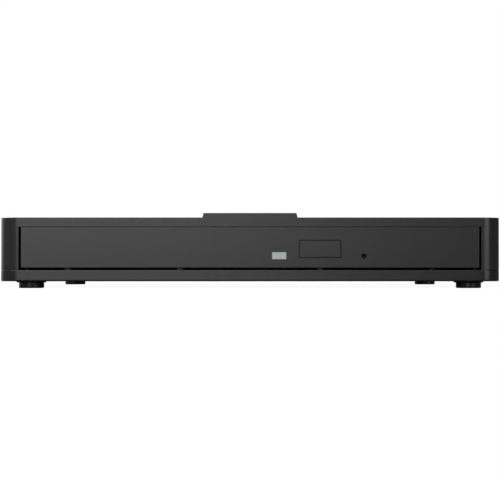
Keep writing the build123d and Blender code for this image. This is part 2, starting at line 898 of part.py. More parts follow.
# Front bezel: a hollow panel with ribs that meet the drawer, and clips that hook into it
bezel_middle = (bezel_bottom + bezel_top) / 2
clip_hook_start = 0.1
clip_hook_end = 0.9
outer_rib_inset = 6.0
outer_rib = bezel_half - outer_rib_inset
bezel_ribs = (-outer_rib, -40.0, -22.0, -3.0, 36.0, 50.0, outer_rib)
with BuildPart() as front_bezel:
    with BuildSketch(case_front):
        with Locations((0, bezel_middle)):
            Rectangle(2 * bezel_half, bezel_top - bezel_bottom)
    extrude(amount=-bezel_depth)
    fillet(front_bezel.edges().group_by(Axis.Y)[0], bezel_round)
    slab(
        (-bezel_half + bezel_rim, front + bezel_face, bezel_bottom + bezel_rim),
        (bezel_half - bezel_rim, bezel_back, bezel_top - bezel_rim),
        Mode.SUBTRACT,
    )
    for x in bezel_ribs:
        slab(
            (x - bezel_rib / 2, front + bezel_face, bezel_bottom + bezel_rim),
            (x + bezel_rib / 2, bezel_back, bezel_top - bezel_rim),
        )
    for x in clip_spots:
        slab(
            (x - clip_width / 2, front + bezel_face, clip_bottom),
            (x + clip_width / 2, inner_front + clip_hook_end, clip_bottom + clip_thickness),
        )
        slab(
            (x - clip_width / 2, inner_front + clip_hook_start, clip_bottom),
            (
                x + clip_width / 2,
                inner_front + clip_hook_end,
                clip_bottom + clip_thickness + clip_barb,
            ),
        )
    with BuildSketch(case_front):
        with Locations((button_x, button_z)):
            Rectangle(button_width + 2 * button_gap, button_tall + 2 * button_gap)
        with Locations((window_x, window_z)):
            Rectangle(window_width + 2 * window_fit, window_tall + 2 * window_fit)
        with Locations((pinhole_x, pinhole_z)):
            Circle(pinhole_radius)
    extrude(amount=-bezel_face, mode=Mode.SUBTRACT)
    with Locations(Plane(origin=(pinhole_x, front, pinhole_z), z_dir=(0, 1, 0))):
        Cone(pinhole_mouth, pinhole_radius, pinhole_lead, align=STAND, mode=Mode.SUBTRACT)
save(front_bezel, "front_bezel")

# Indicator window: a clear light guide from the bezel to the indicator
window_flange_side = 0.5
window_flange_high = 0.4
window_flange_thickness = 0.6
flange_half = window_width / 2 + window_flange_side
flange_half_high = window_tall / 2 + window_flange_high
led_depth = 1.2
with BuildPart() as indicator_window:
    with BuildSketch(case_front):
        with Locations((window_x, window_z)):
            Rectangle(window_width, window_tall)
    extrude(amount=-(bezel_depth + tray_front_wall))
    slab(
        (window_x - flange_half, front + bezel_face, window_z - flange_half_high),
        (
            window_x + flange_half,
            front + bezel_face + window_flange_thickness,
            window_z + flange_half_high,
        ),
    )
save(indicator_window, "indicator_window")

# Eject button with a flange behind the bezel and a post that reaches the switch
switch_setback = 1.6
button_chamfer = 0.12
button_post_half = 0.9
button_post_gap = 0.05
flange_x = button_width / 2 + button_flange
flange_z = button_tall / 2 + button_flange
plunger_reach = 1.1
switch_front = inner_front + switch_setback
plunger_tip = switch_front - plunger_reach
button_back = front + bezel_face + button_flange_gap
with BuildPart() as eject_button:
    with BuildSketch(case_front):
        with Locations((button_x, button_z)):
            Rectangle(button_width, button_tall)
    extrude(amount=-(bezel_face + button_flange_gap))
    chamfer(eject_button.edges().group_by(Axis.Y)[0], button_chamfer)
    slab(
        (button_x - flange_x, button_back, button_z - flange_z),
        (button_x + flange_x, button_back + button_flange_thickness, button_z + flange_z),
    )
    slab(
        (button_x - button_post_half, button_back, switch_z - button_post_half),
        (button_x + button_post_half, plunger_tip - button_post_gap, switch_z + button_post_half),
    )
save(eject_button, "eject_button")

# Switch board at the drawer's front, with the indicator, the eject switch and its plunger
switch_board_top = switch_board_bottom + board_thickness
with BuildPart() as switch_board:
    slab(
        (switch_board_left, inner_front, switch_board_bottom),
        (switch_board_right, inner_front + switch_board_depth, switch_board_top),
    )
save(switch_board, "switch_board")

indicator_half = 1.5
indicator_gap = 0.1
indicator_height = 1.0
with BuildPart() as indicator:
    slab(
        (window_x - indicator_half, inner_front + indicator_gap, switch_board_top),
        (
            window_x + indicator_half,
            inner_front + indicator_gap + led_depth,
            switch_board_top + indicator_height,
        ),
    )
save(indicator, "indicator")

switch_tall = 1.8
plunger_play = 0.05
plunger_bore = 1.2
plunger_end_gap = 0.1
switch_half = 2.3
switch_depth = 3.4
plunger_radius = 0.5
with BuildPart() as eject_switch:
    slab(
        (button_x - switch_half, switch_front, switch_board_top),
        (button_x + switch_half, switch_front + switch_depth, switch_board_top + switch_tall),
    )
    bar(
        plunger_radius + plunger_play,
        (button_x, switch_front, switch_z),
        (button_x, switch_front + plunger_bore, switch_z),
        Mode.SUBTRACT,
    )
save(eject_switch, "eject_switch")

with BuildPart() as switch_plunger:
    bar(
        plunger_radius,
        (button_x, plunger_tip, switch_z),
        (button_x, switch_front + plunger_bore - button_travel - plunger_end_gap, switch_z),
    )
save(switch_plunger, "switch_plunger")

# Main board under the deck's rear, with its chips and the ribbon's connector
ribbon_rise_inset = 1.5
board_hole_radius = 0.8
ribbon_socket_side = 0.4
ribbon_socket_depth = 2.4
ribbon_socket_drop = 0.9
ribbon_rise = ribbon_slot_rear - ribbon_rise_inset
with BuildPart() as main_board:
    slab((board_left, board_front, board_bottom), (board_right, board_rear, board_top))
    for spot in board_spots:
        post(board_hole_radius, spot, board_bottom, board_top, Mode.SUBTRACT)
save(main_board, "main_board")

chip_spots = ((-22.0, 37.0, 12.0, 12.0, 1.2), (2.0, 36.0, 9.0, 9.0, 1.0), (22.0, 39.0, 8.0, 6.0, 1.0))
with BuildPart() as board_chips:
    for x, y, long_x, long_y, tall in chip_spots:
        slab((x - long_x / 2, y - long_y / 2, board_top), (x + long_x / 2, y + long_y / 2, board_top + tall))
    slab(
        (
            ribbon_left - ribbon_socket_side,
            ribbon_rise - ribbon_socket_depth,
            board_bottom - ribbon_socket_drop,
        ),
        (ribbon_right + ribbon_socket_side, ribbon_rise, board_bottom),
    )
save(board_chips, "board_chips")

board_screw = {"reach": 2.0, "head_radius": 1.4, "head_height": 0.5}
plate_screw = {"reach": 3.0, "head_radius": 1.6, "head_height": 0.3}
with BuildPart() as tray_screws:
    for spot in board_spots:
        machine_screw(spot, board_bottom, radius=board_screw_radius, **board_screw)
    for spot in plate_screw_spots:
        machine_screw(spot, plate_bottom, radius=plate_screw_radius, **plate_screw)
save(tray_screws, "tray_screws")

# Traverse frame: the plate that carries the spindle, the rods and the sled's drive
holder_cap = 0.05
rotor_room = 2.4
frame_motor_side = 0.2
frame_corner_cut = 1.5
frame_corner_back = 2.0
frame_bush_room = 0.3
damper_hole_play = 0.05
bearing_half = 1.7
journal_cap = 0.5
journal_end_gap = 0.1
tab_reach = 3.7
frame_bottom = plate_top + frame_lift
frame_top_face = frame_bottom + frame_plate
base_top = frame_top_face + base_plate
rod_z = frame_top_face + rod_height
rod_inner = 12.0
holder_top = rod_z + rod_radius + holder_cap
window_inner = rotor_radius + rotor_room
window_half = sled_half_width + sled_play
main_holder = window_outer + holder_gap
main_across = rod_across
side_across = -rod_across
motor_from_edge = 3.6
motor_length = 9.2
motor_end = disc_radius - motor_from_edge
motor_start = motor_end - motor_length
motor_half = 2.4
motor_play = 0.2
bearing_start = 8.0
bearing_end = 10.4
frame_back = -18.0
frame_past_rod = 4.4
frame_past_screw = 3.6
frame_side = side_across - frame_past_rod
frame_screw_side = screw_across + frame_past_screw
frame_tab = outer_damper + tab_reach
frame_tab_half = 4.0
with BuildPart() as traverse_frame:
    with BuildSketch(traverse.offset(frame_bottom)):
        with BuildLine():
            Polyline(
                (frame_back, frame_side),
                (frame_back, frame_screw_side),
                (motor_end + frame_motor_side, frame_screw_side),
                (window_outer + frame_rim, rod_across),
                (window_outer + frame_rim, frame_tab_half),
                (frame_tab, frame_tab_half),
                (frame_tab, -frame_tab_half),
                (window_outer + frame_rim, -frame_tab_half),
                (window_outer + frame_rim, -sled_half_width),
                (side_end, frame_side + frame_corner_cut),
                (side_holder - frame_corner_back, frame_side),
                close=True,
            )
        make_face()
        with Locations(((window_inner + window_outer) / 2, 0)):
            Rectangle(window_outer - window_inner, 2 * window_half, mode=Mode.SUBTRACT)
        Circle(bush_radius + frame_bush_room, mode=Mode.SUBTRACT)
        with Locations(*damper_spots):
            Circle(damper_waist + damper_hole_play, mode=Mode.SUBTRACT)
        with Locations(((motor_start + motor_end) / 2, screw_across)):
            Rectangle(
                motor_end - motor_start + 2 * motor_play,
                2 * (motor_half + motor_play),
                mode=Mode.SUBTRACT,
            )
    extrude(amount=frame_plate)
    for across, outer in ((main_across, main_holder), (side_across, side_holder)):
        for start in (rod_inner - holder_length / 2, outer):
            slab(
                (start, across - holder_half, frame_top_face),
                (start + holder_length, across + holder_half, holder_top),
                frame=traverse,
            )
        bar(
            rod_radius + rod_fit,
            on_traverse(rod_inner, across, rod_z),
            on_traverse(outer + holder_length / 2 + rod_fit, across, rod_z),
            Mode.SUBTRACT,
        )
    slab(
        (bearing_start, screw_across - bearing_half, frame_top_face),
        (bearing_end, screw_across + bearing_half, holder_top),
        frame=traverse,
    )
    bar(
        journal_radius + rod_fit,
        on_traverse(bearing_start + journal_cap, screw_across, rod_z),
        on_traverse(bearing_end, screw_across, rod_z),
        Mode.SUBTRACT,
    )
save(traverse_frame, "traverse_frame")

# Rubber dampers between the frame and the drawer's posts
damper_seat_gap = 0.02
damper_seat = plate_top + damper_seat_gap
with BuildPart() as frame_dampers:
    for spot in damper_spots:
        post(damper_waist, spot, damper_seat, damper_top, frame=traverse)
        post(damper_radius, spot, frame_top_face, damper_top, frame=traverse)
        post(damper_radius, spot, damper_seat, frame_bottom, frame=traverse)
        post(damper_bore, spot, plate_top, damper_top, Mode.SUBTRACT, frame=traverse)
save(frame_dampers, "frame_dampers")

with BuildPart() as guide_rods:
    for across, outer in ((main_across, main_holder), (side_across, side_holder)):
        rod_end = outer + holder_length / 2
        bar(rod_radius, on_traverse(rod_inner, across, rod_z), on_traverse(rod_end, across, rod_z))
save(guide_rods, "guide_rods")

# Spindle motor: base with its bush, stator, rotor bell with its shaft
rotor_gap = 0.3
bush_roof_gap = 1.3
base_rim = 1.8
shaft_floor = 0.3
shaft_end_gap = 0.1
seat_z = recess_floor + seat_lift
rotor_top = seat_z - friction_thickness
rotor_roof = rotor_top - rotor_shell
rotor_bottom = base_top + rotor_gap
bush_bottom = frame_bottom
bush_top = rotor_roof - bush_roof_gap
with BuildPart() as spindle_base:
    post(rotor_radius + base_rim, (0, spindle_y), frame_top_face, base_top)
    post(bush_radius, (0, spindle_y), bush_bottom, bush_top)
    post(shaft_radius + shaft_play, (0, spindle_y), bush_bottom + shaft_floor, bush_top, Mode.SUBTRACT)
save(spindle_base, "spindle_base")

stator_gap = 0.4
stator_top_gap = 0.1
stator_rim = 1.2
stator_core = 2.2
tooth_shift = 1.0
tooth_short = 2.2
tooth_width = 1.8
notch_inset = 0.4
notch_length = 2.4
notch_width = 0.9
press_fit = 0.02
stator_foot = 1.2
stator_bottom = base_top + stator_gap
stator_top = bush_top - stator_top_gap
teeth = 9
with BuildPart() as spindle_stator:
    with BuildSketch(Plane.XY.offset(stator_bottom)):
        with Locations((0, spindle_y)):
            Circle(stator_radius)
            Circle(stator_radius - stator_rim, mode=Mode.SUBTRACT)
            Circle(bush_radius + stator_core)
            with PolarLocations(stator_radius / 2 + tooth_shift, teeth):
                Rectangle(stator_radius - tooth_short, tooth_width)
            with PolarLocations(stator_radius - notch_inset, teeth, start_angle=180 / teeth):
                Rectangle(notch_length, notch_width, mode=Mode.SUBTRACT)
            Circle(bush_radius + press_fit, mode=Mode.SUBTRACT)
    extrude(amount=stator_top - stator_bottom)
    post(bush_radius + stator_foot, (0, spindle_y), base_top, stator_bottom)
    post(bush_radius + press_fit, (0, spindle_y), base_top, stator_bottom, Mode.SUBTRACT)
save(spindle_stator, "spindle_stator")

with BuildPart() as spindle_rotor:
    post(rotor_radius, (0, spindle_y), rotor_bottom, rotor_top)
    post(rotor_radius - rotor_shell, (0, spindle_y), rotor_bottom, rotor_roof, Mode.SUBTRACT)
    post(shaft_radius, (0, spindle_y), bush_bottom + shaft_floor + shaft_end_gap, rotor_top)
save(spindle_rotor, "spindle_rotor")

with BuildPart() as friction_ring:
    post(friction_outer, (0, spindle_y), rotor_top, seat_z)
    post(friction_inner, (0, spindle_y), rotor_top, seat_z, Mode.SUBTRACT)
save(friction_ring, "friction_ring")

# Disc hub with three pockets, and the claws that slide in them to hold the disc
hub_top = rotor_top + hub_height
pocket_lift = 0.05
cut_over = 0.1
pocket_floor = seat_z + pocket_lift
claw_pocket = claw_inner - claw_travel - claw_spring_room


def radial_plane(turn):
    """The frame of one claw: x points out from the spindle's axis."""
    a = radians(turn)
    return Plane(origin=(0, spindle_y, 0), x_dir=(cos(a), sin(a), 0), z_dir=(0, 0, 1))


with BuildPart() as disc_hub:
    post(hub_radius, (0, spindle_y), rotor_top, hub_top)
    chamfer(disc_hub.edges().group_by(Axis.Z)[-1], hub_chamfer)
    for turn in claw_turns:
        half = claw_width / 2 + claw_play
        slab(
            (claw_pocket, -half, pocket_floor),
            (hub_radius + cut_over, half, hub_top),
            Mode.SUBTRACT,
            radial_plane(turn),
        )
save(disc_hub, "disc_hub")

claw_slack = 0.05
claw_face_inset = 0.15
claw_under_lift = 1.25
claw_nose = 0.25
claw_slope = 0.15
claw_spring_gap = 0.03
claw_spring_radius = 0.45
claw_wire = 0.14
claw_spring_turns = 3
claw_bottom = pocket_floor + claw_slack
claw_top = hub_top - claw_slack
claw_face = hub_radius - claw_face_inset
claw_under = seat_z + claw_under_lift
claw_tip_z = claw_under + claw_nose
for number, turn in enumerate(claw_turns, 1):
    ray = radial_plane(turn)
    upright = Plane(origin=ray.origin, x_dir=ray.x_dir, z_dir=-ray.y_dir)
    with BuildPart() as claw:
        with BuildSketch(upright.offset(-claw_width / 2)):
            with BuildLine():
                Polyline(
                    (claw_inner, claw_bottom),
                    (claw_face, claw_bottom),
                    (claw_face, claw_under),
                    (hub_radius + claw_reach, claw_tip_z),
                    (claw_face - claw_slope, claw_top),
                    (claw_inner, claw_top),
                    close=True,
                )
            make_face()
        extrude(amount=claw_width)
    save(claw, f"clamp_claw_{number}")

with BuildPart() as claw_springs:
    spring_z = (claw_bottom + claw_top) / 2
    for turn in claw_turns:
        ray = radial_plane(turn)
        start = ray.from_local_coords((claw_pocket + claw_spring_gap, 0, spring_z))
        end = ray.from_local_coords((claw_inner - claw_spring_gap, 0, spring_z))
        coil(start, end, claw_spring_radius, claw_wire, claw_spring_turns)
save(claw_springs, "claw_springs")

# Sled motor, lead screw and the nut that follows its thread
motor_end_room = 0.1
motor_corner = 1.2
motor_tab_root = 1.0
motor_tab_thickness = 0.4
motor_bore_end = 1.0
journal_motor_gap = 0.2
motor_middle = (frame_bottom + deck_bottom) / 2
motor_tall = deck_bottom - frame_bottom - 2 * motor_end_room
motor_tab = 0.9
motor_tab_inset = 1.4
with BuildPart() as sled_motor:
    with BuildSketch(Plane(origin=on_traverse(motor_start, 0), x_dir=traverse.y_dir, z_dir=traverse.x_dir)):
        with Locations((screw_across, motor_middle)):
            RectangleRounded(2 * motor_half, motor_tall, motor_corner)
    extrude(amount=motor_end - motor_start)
    bar(
        journal_radius + rod_fit,
        on_traverse(motor_start, screw_across, rod_z),
        on_traverse(motor_end - motor_bore_end, screw_across, rod_z),
        Mode.SUBTRACT,
    )
    slab(
        (motor_start + motor_tab_inset, screw_across + motor_half - motor_tab_root, frame_top_face),
        (
            motor_end - motor_tab_inset,
            screw_across + motor_half + motor_tab,
            frame_top_face + motor_tab_thickness,
        ),
        frame=traverse,
    )
save(sled_motor, "sled_motor")

thread_gap = 0.3
thread_start = bearing_end + thread_gap
thread_end = motor_start - thread_gap
thread_run_out = 0.5
ridge_half = 0.35
ridge_tip_half = 0.2
ridge_root = 0.1
ridge_height = screw_outer - screw_core
thread_axis = Plane(
    origin=on_traverse(thread_start + thread_run_out, screw_across, rod_z),
    x_dir=(0, 0, 1),
    z_dir=traverse.x_dir,
)
with BuildPart() as lead_screw:
    bar(
        journal_radius,
        on_traverse(bearing_start + journal_cap + journal_end_gap, screw_across, rod_z),
        on_traverse(motor_end - motor_bore_end - journal_motor_gap, screw_across, rod_z),
    )
    bar(
        screw_core,
        on_traverse(thread_start, screw_across, rod_z),
        on_traverse(thread_end, screw_across, rod_z),
    )
    thread_path = thread_axis * Helix(
        pitch=screw_pitch,
        height=thread_end - thread_start - 2 * thread_run_out,
        radius=screw_core,
    )
    with BuildSketch(Plane(origin=thread_path @ 0, x_dir=(0, 0, 1), z_dir=thread_path % 0)) as ridge:
        with BuildLine():
            Polyline(
                (-ridge_root, -ridge_half),
                (ridge_height, -ridge_tip_half),
                (ridge_height, ridge_tip_half),
                (-ridge_root, ridge_half),
                close=True,
            )
        make_face()
    sweep(ridge.sketch, path=thread_path, is_frenet=True)
save(lead_screw, "lead_screw")

lug_lift = 0.25
arm_gap = 0.25
nut_open = 0.2
main_lug_offset = 8.0
nut_back = 12.6
nut_length = 2.2
nut_gap = 0.17
nut_low = frame_top_face + lug_lift
arm_inner = rod_across + holder_half + arm_gap
arm_thickness = 0.8
main_lug_back = lens_start - main_lug_offset
with BuildPart() as feed_nut:
    slab(
        (lens_start - nut_back, arm_inner, nut_low),
        (main_lug_back + lug_length, arm_inner + arm_thickness, holder_top),
        frame=traverse,
    )
    slab(
        (lens_start - nut_back, arm_inner, nut_low),
        (lens_start - nut_back + nut_length, screw_across - nut_open, holder_top),
        frame=traverse,
    )
    bar(
        screw_outer + nut_gap,
        on_traverse(lens_start - nut_back, screw_across, rod_z),
        on_traverse(lens_start - nut_back + nut_length, screw_across, rod_z),
        Mode.SUBTRACT,
    )
save(feed_nut, "feed_nut")

# Pickup: body with lugs on the rods, cover, magnets, lens holder and lens
sled_drop = 0.15
lug_root = 1.0
front_lug_offset = 1.0
cavity_lift = 1.5
side_lug_room = 0.1
sled_bottom = plate_top + sled_lift
sled_top = holder_top - sled_drop
sled_start = lens_start - sled_back
sled_end = lens_start + sled_front
main_lug_front = lens_start + front_lug_offset
side_lug_back = lens_start - lug_length / 2
lug_bottom = frame_top_face + lug_lift
cavity_floor = sled_bottom + cavity_lift
cavity_half_length = 5.4
cavity_half_width = 7.5
corner_cut = 3.0
lug_fit = 0.04
with BuildPart() as pickup_body:
    with BuildSketch(traverse.offset(sled_bottom)):
        with BuildLine():
            Polyline(
                (sled_start, -sled_half_width + corner_cut),
                (sled_start + corner_cut, -sled_half_width),
                (sled_end - corner_cut, -sled_half_width),
                (sled_end, -sled_half_width + corner_cut),
                (sled_end, sled_half_width - corner_cut),
                (sled_end - corner_cut, sled_half_width),
                (sled_start + corner_cut, sled_half_width),
                (sled_start, sled_half_width - corner_cut),
                close=True,
            )
        make_face()
    extrude(amount=sled_top - sled_bottom)
    for start, outer in ((main_lug_back, arm_inner), (main_lug_front, rod_across + holder_half)):
        slab(
            (start, sled_half_width - lug_root, lug_bottom),
            (start + lug_length, outer, sled_top),
            frame=traverse,
        )
    slab(
        (side_lug_back, -rod_across - holder_half, lug_bottom),
        (side_lug_back + lug_length, -sled_half_width + lug_root, sled_top),
        frame=traverse,
    )
    bar(
        rod_radius + lug_fit,
        on_traverse(sled_start, main_across, rod_z),
        on_traverse(sled_end, main_across, rod_z),
        Mode.SUBTRACT,
    )
    slab(
        (side_lug_back, -rod_across - holder_half, rod_z - rod_radius - lug_fit),
        (
            side_lug_back + lug_length,
            -rod_across + rod_radius + side_lug_room,
            rod_z + rod_radius + lug_fit,
        ),
        Mode.SUBTRACT,
        traverse,
    )
    slab(
        (lens_start - cavity_half_length, -cavity_half_width, cavity_floor),
        (lens_start + cavity_half_length, cavity_half_width, sled_top),
        Mode.SUBTRACT,
        traverse,
    )
save(pickup_body, "pickup_body")

cover_sheet = 0.2
cover_inset = 0.4
with BuildPart() as pickup_cover:
    slab(
        (sled_start + cover_inset, -sled_half_width + corner_cut, sled_top),
        (sled_end - cover_inset, sled_half_width - corner_cut, sled_top + cover_sheet),
        frame=traverse,
    )
    slab(
        (lens_start - cavity_half_length, -cavity_half_width, sled_top),
        (lens_start + cavity_half_length, cavity_half_width, sled_top + cover_sheet),
        Mode.SUBTRACT,
        traverse,
    )
save(pickup_cover, "pickup_cover")

magnet_inner = 4.0
magnet_outer = 5.2
magnet_half = 3.5
with BuildPart() as lens_magnets:
    for start, end in ((-magnet_outer, -magnet_inner), (magnet_inner, magnet_outer)):
        slab(
            (lens_start + start, -magnet_half, cavity_floor),
            (lens_start + end, magnet_half, sled_top),
            frame=traverse,
        )
save(lens_magnets, "lens_magnets")

block_floor_gap = 0.15
block_height = 1.5
block_half_out = 3.5
block_half_across = 5.5
lens_collar = 0.5
lens_collar_rise = 0.25
lens_sink = 0.4
lens_ledge = 0.6
focus_travel = 0.3
holder_low = cavity_floor + focus_travel + block_floor_gap
holder_high = holder_low + block_height
lens_radius = 1.9
lens_seat = holder_high - lens_sink
collar_top = holder_high + lens_collar_rise
with BuildPart() as lens_holder:
    slab(
        (lens_start - block_half_out, -block_half_across, holder_low),
        (lens_start + block_half_out, block_half_across, holder_high),
        frame=traverse,
    )
    post(lens_radius + lens_collar, (lens_start, 0), holder_high, collar_top, frame=traverse)
    post(lens_radius, (lens_start, 0), lens_seat, collar_top, Mode.SUBTRACT, traverse)
    post(lens_radius - lens_ledge, (lens_start, 0), holder_low, holder_high, Mode.SUBTRACT, traverse)
save(lens_holder, "lens_holder")

lens_edge = 0.45
lens_dome = 0.35
dome_radius = (lens_radius**2 + lens_dome**2) / (2 * lens_dome)
lens_top = lens_seat + lens_edge + lens_dome
with BuildPart() as lens:
    with Locations(on_traverse(lens_start, 0, lens_top - dome_radius)):
        Sphere(dome_radius)
    post(lens_radius, (lens_start, 0), lens_seat, lens_top, Mode.INTERSECT, traverse)
save(lens, "lens")

# Latch: a post on the drive's floor, and on the drawer the lever with its coil, plunger and spring
post_foot = 0.35
with BuildPart() as latch_post:
    post(post_radius, (post_x, post_y), drive_floor, post_top)
    post(2 * post_radius, (post_x, post_y), drive_floor, drive_floor + post_foot)
save(latch_post, "latch_post")

arm_spare = 1.5
plunger_lift = 1.35
pivot_boss = 2.4
pivot_play = 0.05
push_arm_half = 0.9
push_arm_near = 0.6
push_arm_far = 1.8
claw_length = 3.7
claw_thickness = 1.5
arm_half = 1.4
arm_length = plunger_from_pivot + arm_spare
groove_half = 0.8
groove_floor = 0.6
push_across = -17.2
pad_radius = 1.6
plunger_z = plate_top + plunger_lift
plunger_size = 0.8
neck_radius = 0.4
plunger_pull = plunger_from_pivot * radians(latch_turn)
plunger_gap = 0.35
latch_tip = latch_y - claw_drop
push_x = pinhole_x
push_y = latch_y + push_across
with BuildPart() as latch_lever:
    with BuildSketch(Plane.XY.offset(lever_bottom)):
        with Locations((latch_x, latch_y)):
            Circle(pivot_boss)
        with BuildLine():
            Polyline(
                (latch_x - arm_half, latch_y),
                (latch_x + arm_half, latch_y),
                (latch_x + arm_half, latch_tip + claw_thickness),
                (latch_x + claw_length, latch_tip + claw_thickness),
                (latch_x + claw_length, latch_tip),
                (latch_x - arm_half, latch_tip),
                close=True,
            )
        make_face()
        with BuildLine():
            Polyline(
                (latch_x + push_arm_near, latch_y - push_arm_far),
                (push_x + push_arm_half, push_y - push_arm_half),
                (push_x - push_arm_half, push_y + push_arm_half),
                (latch_x - push_arm_far, latch_y + push_arm_near),
                close=True,
            )
        make_face()
        with Locations((push_x, push_y)):
            Circle(pad_radius)
        with Locations((latch_x, latch_y + arm_length / 2)):
            Rectangle(2 * arm_half, arm_length)
        with Locations((latch_x, latch_y)):
            Circle(pivot_radius + pivot_play, mode=Mode.SUBTRACT)
    extrude(amount=lever_thickness)
    slab(
        (latch_x - arm_half, plunger_y - groove_half, lever_bottom + groove_floor),
        (latch_x + arm_half, plunger_y + groove_half, lever_top),
        Mode.SUBTRACT,
    )
save(latch_lever, "latch_lever")

coil_end_wall = 1.0
coil_end_gap = 0.25
coil_play = 0.05
collar_gap = 1.2
collar_half_height = 1.1
coil_bore_start = coil_left + coil_end_wall
shoulder_left = latch_x - arm_half - plunger_gap
shoulder_right = latch_x + arm_half + plunger_gap
plunger_head = 0.8
collar_left = shoulder_left - collar_gap
collar_half = 1.3
collar_thickness = 0.6
with BuildPart() as latch_coil:
    slab((coil_left, plunger_y - coil_half, coil_bottom), (coil_right, plunger_y + coil_half, coil_top))
    bar(
        plunger_size + coil_play,
        (coil_bore_start, plunger_y, plunger_z),
        (coil_right, plunger_y, plunger_z),
        Mode.SUBTRACT,
    )
save(latch_coil, "latch_coil")

with BuildPart() as latch_plunger:
    bar(
        plunger_size,
        (coil_bore_start + plunger_pull + coil_end_gap, plunger_y, plunger_z),
        (shoulder_left, plunger_y, plunger_z),
    )
    bar(neck_radius, (shoulder_left, plunger_y, plunger_z), (shoulder_right, plunger_y, plunger_z))
    bar(
        plunger_size,
        (shoulder_right, plunger_y, plunger_z),
        (shoulder_right + plunger_head, plunger_y, plunger_z),
    )
    slab(
        (collar_left, plunger_y - collar_half, plunger_z - collar_half_height),
        (collar_left + collar_thickness, plunger_y + collar_half, plunger_z + collar_half_height),
    )
save(latch_plunger, "latch_plunger")

spring_play = 0.12
latch_spring_turns = 6
spring_gap = 0.03
latch_wire = 0.3
with BuildPart() as latch_spring:
    coil(
        (coil_right + spring_gap, plunger_y, plunger_z),
        (collar_left - spring_gap, plunger_y, plunger_z),
        plunger_size + latch_wire / 2 + spring_play,
        latch_wire,
        latch_spring_turns,
    )
save(latch_spring, "latch_spring")

# Ejector: a sprung rod in the drawer that pushes off the drive's rear wall
ejector_guide = 2.0
ejector_tip_gap = 0.3
ejector_spring_room = 8.0
ejector_collar_radius = 1.8
ejector_collar_length = 1.0
ejector_wire = 0.4
ejector_spring_play = 0.15
ejector_spring_turns = 7
ejector_front = ejector_block_front + ejector_guide - ejector_travel
ejector_tip = drive_rear - sheet - ejector_tip_gap
ejector_collar = ejector_block_front + ejector_block_length + ejector_spring_room
with BuildPart() as ejector_rod:
    bar(ejector_radius, (ejector_x, ejector_front, ejector_z), (ejector_x, ejector_tip, ejector_z))
    bar(
        ejector_collar_radius,
        (ejector_x, ejector_collar, ejector_z),
        (ejector_x, ejector_collar + ejector_collar_length, ejector_z),
    )
save(ejector_rod, "ejector_rod")

with BuildPart() as ejector_spring:
    coil(
        (ejector_x, ejector_block_front + ejector_block_length + spring_gap, ejector_z),
        (ejector_x, ejector_collar - spring_gap, ejector_z),
        ejector_radius + ejector_wire / 2 + ejector_spring_play,
        ejector_wire,
        ejector_spring_turns,
    )
save(ejector_spring, "ejector_spring")

# Connector board and socket at the drive's rear, and the ribbon from there to the drawer
connector_gap = 0.9
connector_side = 2.0
connector_wall_gap = 0.5
connector_front = tray_rear + connector_gap
connector_rear = drive_rear - sheet
with BuildPart() as connector_board:
    slab(
        (ribbon_left - connector_side, connector_front, drive_floor),
        (drive_inner_half - connector_wall_gap, connector_rear, socket_bottom),
    )
save(connector_board, "connector_board")

socket_reach = 0.8
socket_tongue_lift = 1.9
socket_tongue = 1.0
socket_setback = 0.3
socket_wall = 2.8
socket_back = 1.3
socket_slack = 0.2
socket_front = connector_front + socket_setback
socket_mouth = drive_rear + socket_reach
tongue_bottom = socket_bottom + socket_tongue_lift
tongue_top = tongue_bottom + socket_tongue
with BuildPart() as drive_socket:
    slab((socket_left, socket_front, socket_bottom), (socket_right, socket_mouth, socket_top))
    slab(
        (socket_left + socket_wall, socket_front + socket_back, tongue_bottom - socket_slack),
        (socket_right - socket_wall, socket_mouth, tongue_top + socket_slack),
        Mode.SUBTRACT,
    )
save(drive_socket, "drive_socket")

fold_y = tray_rear - tray_travel / 2 - ribbon_spare
lower_ribbon = drive_floor + ribbon_thickness
upper_ribbon = plate_bottom - ribbon_thickness
fold_outer = (plate_bottom - drive_floor) / 2
with BuildPart() as ribbon_fixed_leg:
    slab((ribbon_left, fold_y, drive_floor), (ribbon_right, connector_front, lower_ribbon))
    with BuildSketch(Plane.YZ.offset(ribbon_left)):
        with Locations((fold_y, drive_floor + fold_outer)):
            Circle(fold_outer)
            Circle(fold_outer - ribbon_thickness, mode=Mode.SUBTRACT)
            with Locations((fold_outer, 0)):
                Rectangle(2 * fold_outer, 2 * fold_outer, mode=Mode.SUBTRACT)
    extrude(amount=ribbon_right - ribbon_left)
save(ribbon_fixed_leg, "ribbon_fixed_leg")

with BuildPart() as ribbon_tray_leg:
    slab((ribbon_left, fold_y, upper_ribbon), (ribbon_right, ribbon_rise + ribbon_thickness, plate_bottom))
    slab(
        (ribbon_left, ribbon_rise, upper_ribbon),
        (ribbon_right, ribbon_rise + ribbon_thickness, board_bottom),
    )
save(ribbon_tray_leg, "ribbon_tray_leg")

# Bridge board behind the drive: plug into the drive, USB socket to the outside, controller
bridge_screw_reach = 3.0
plug_depth = 3.5
plug_inset = 1.0
plug_gap = 0.2
plug_tip_gap = 0.4
bridge_top = bridge_bottom + bridge_board_thickness
with BuildPart() as bridge_board:
    slab((bridge_left, bridge_front, bridge_bottom), (bridge_right, bridge_rear, bridge_top))
    for spot in standoff_spots:
        post(screw_radius + screw_clearance, spot, bridge_bottom, bridge_top, Mode.SUBTRACT)
save(bridge_board, "bridge_board")

with BuildPart() as bridge_screws:
    for spot in standoff_spots:
        machine_screw(spot, bridge_top, bridge_screw_reach, -1)
save(bridge_screws, "bridge_screws")

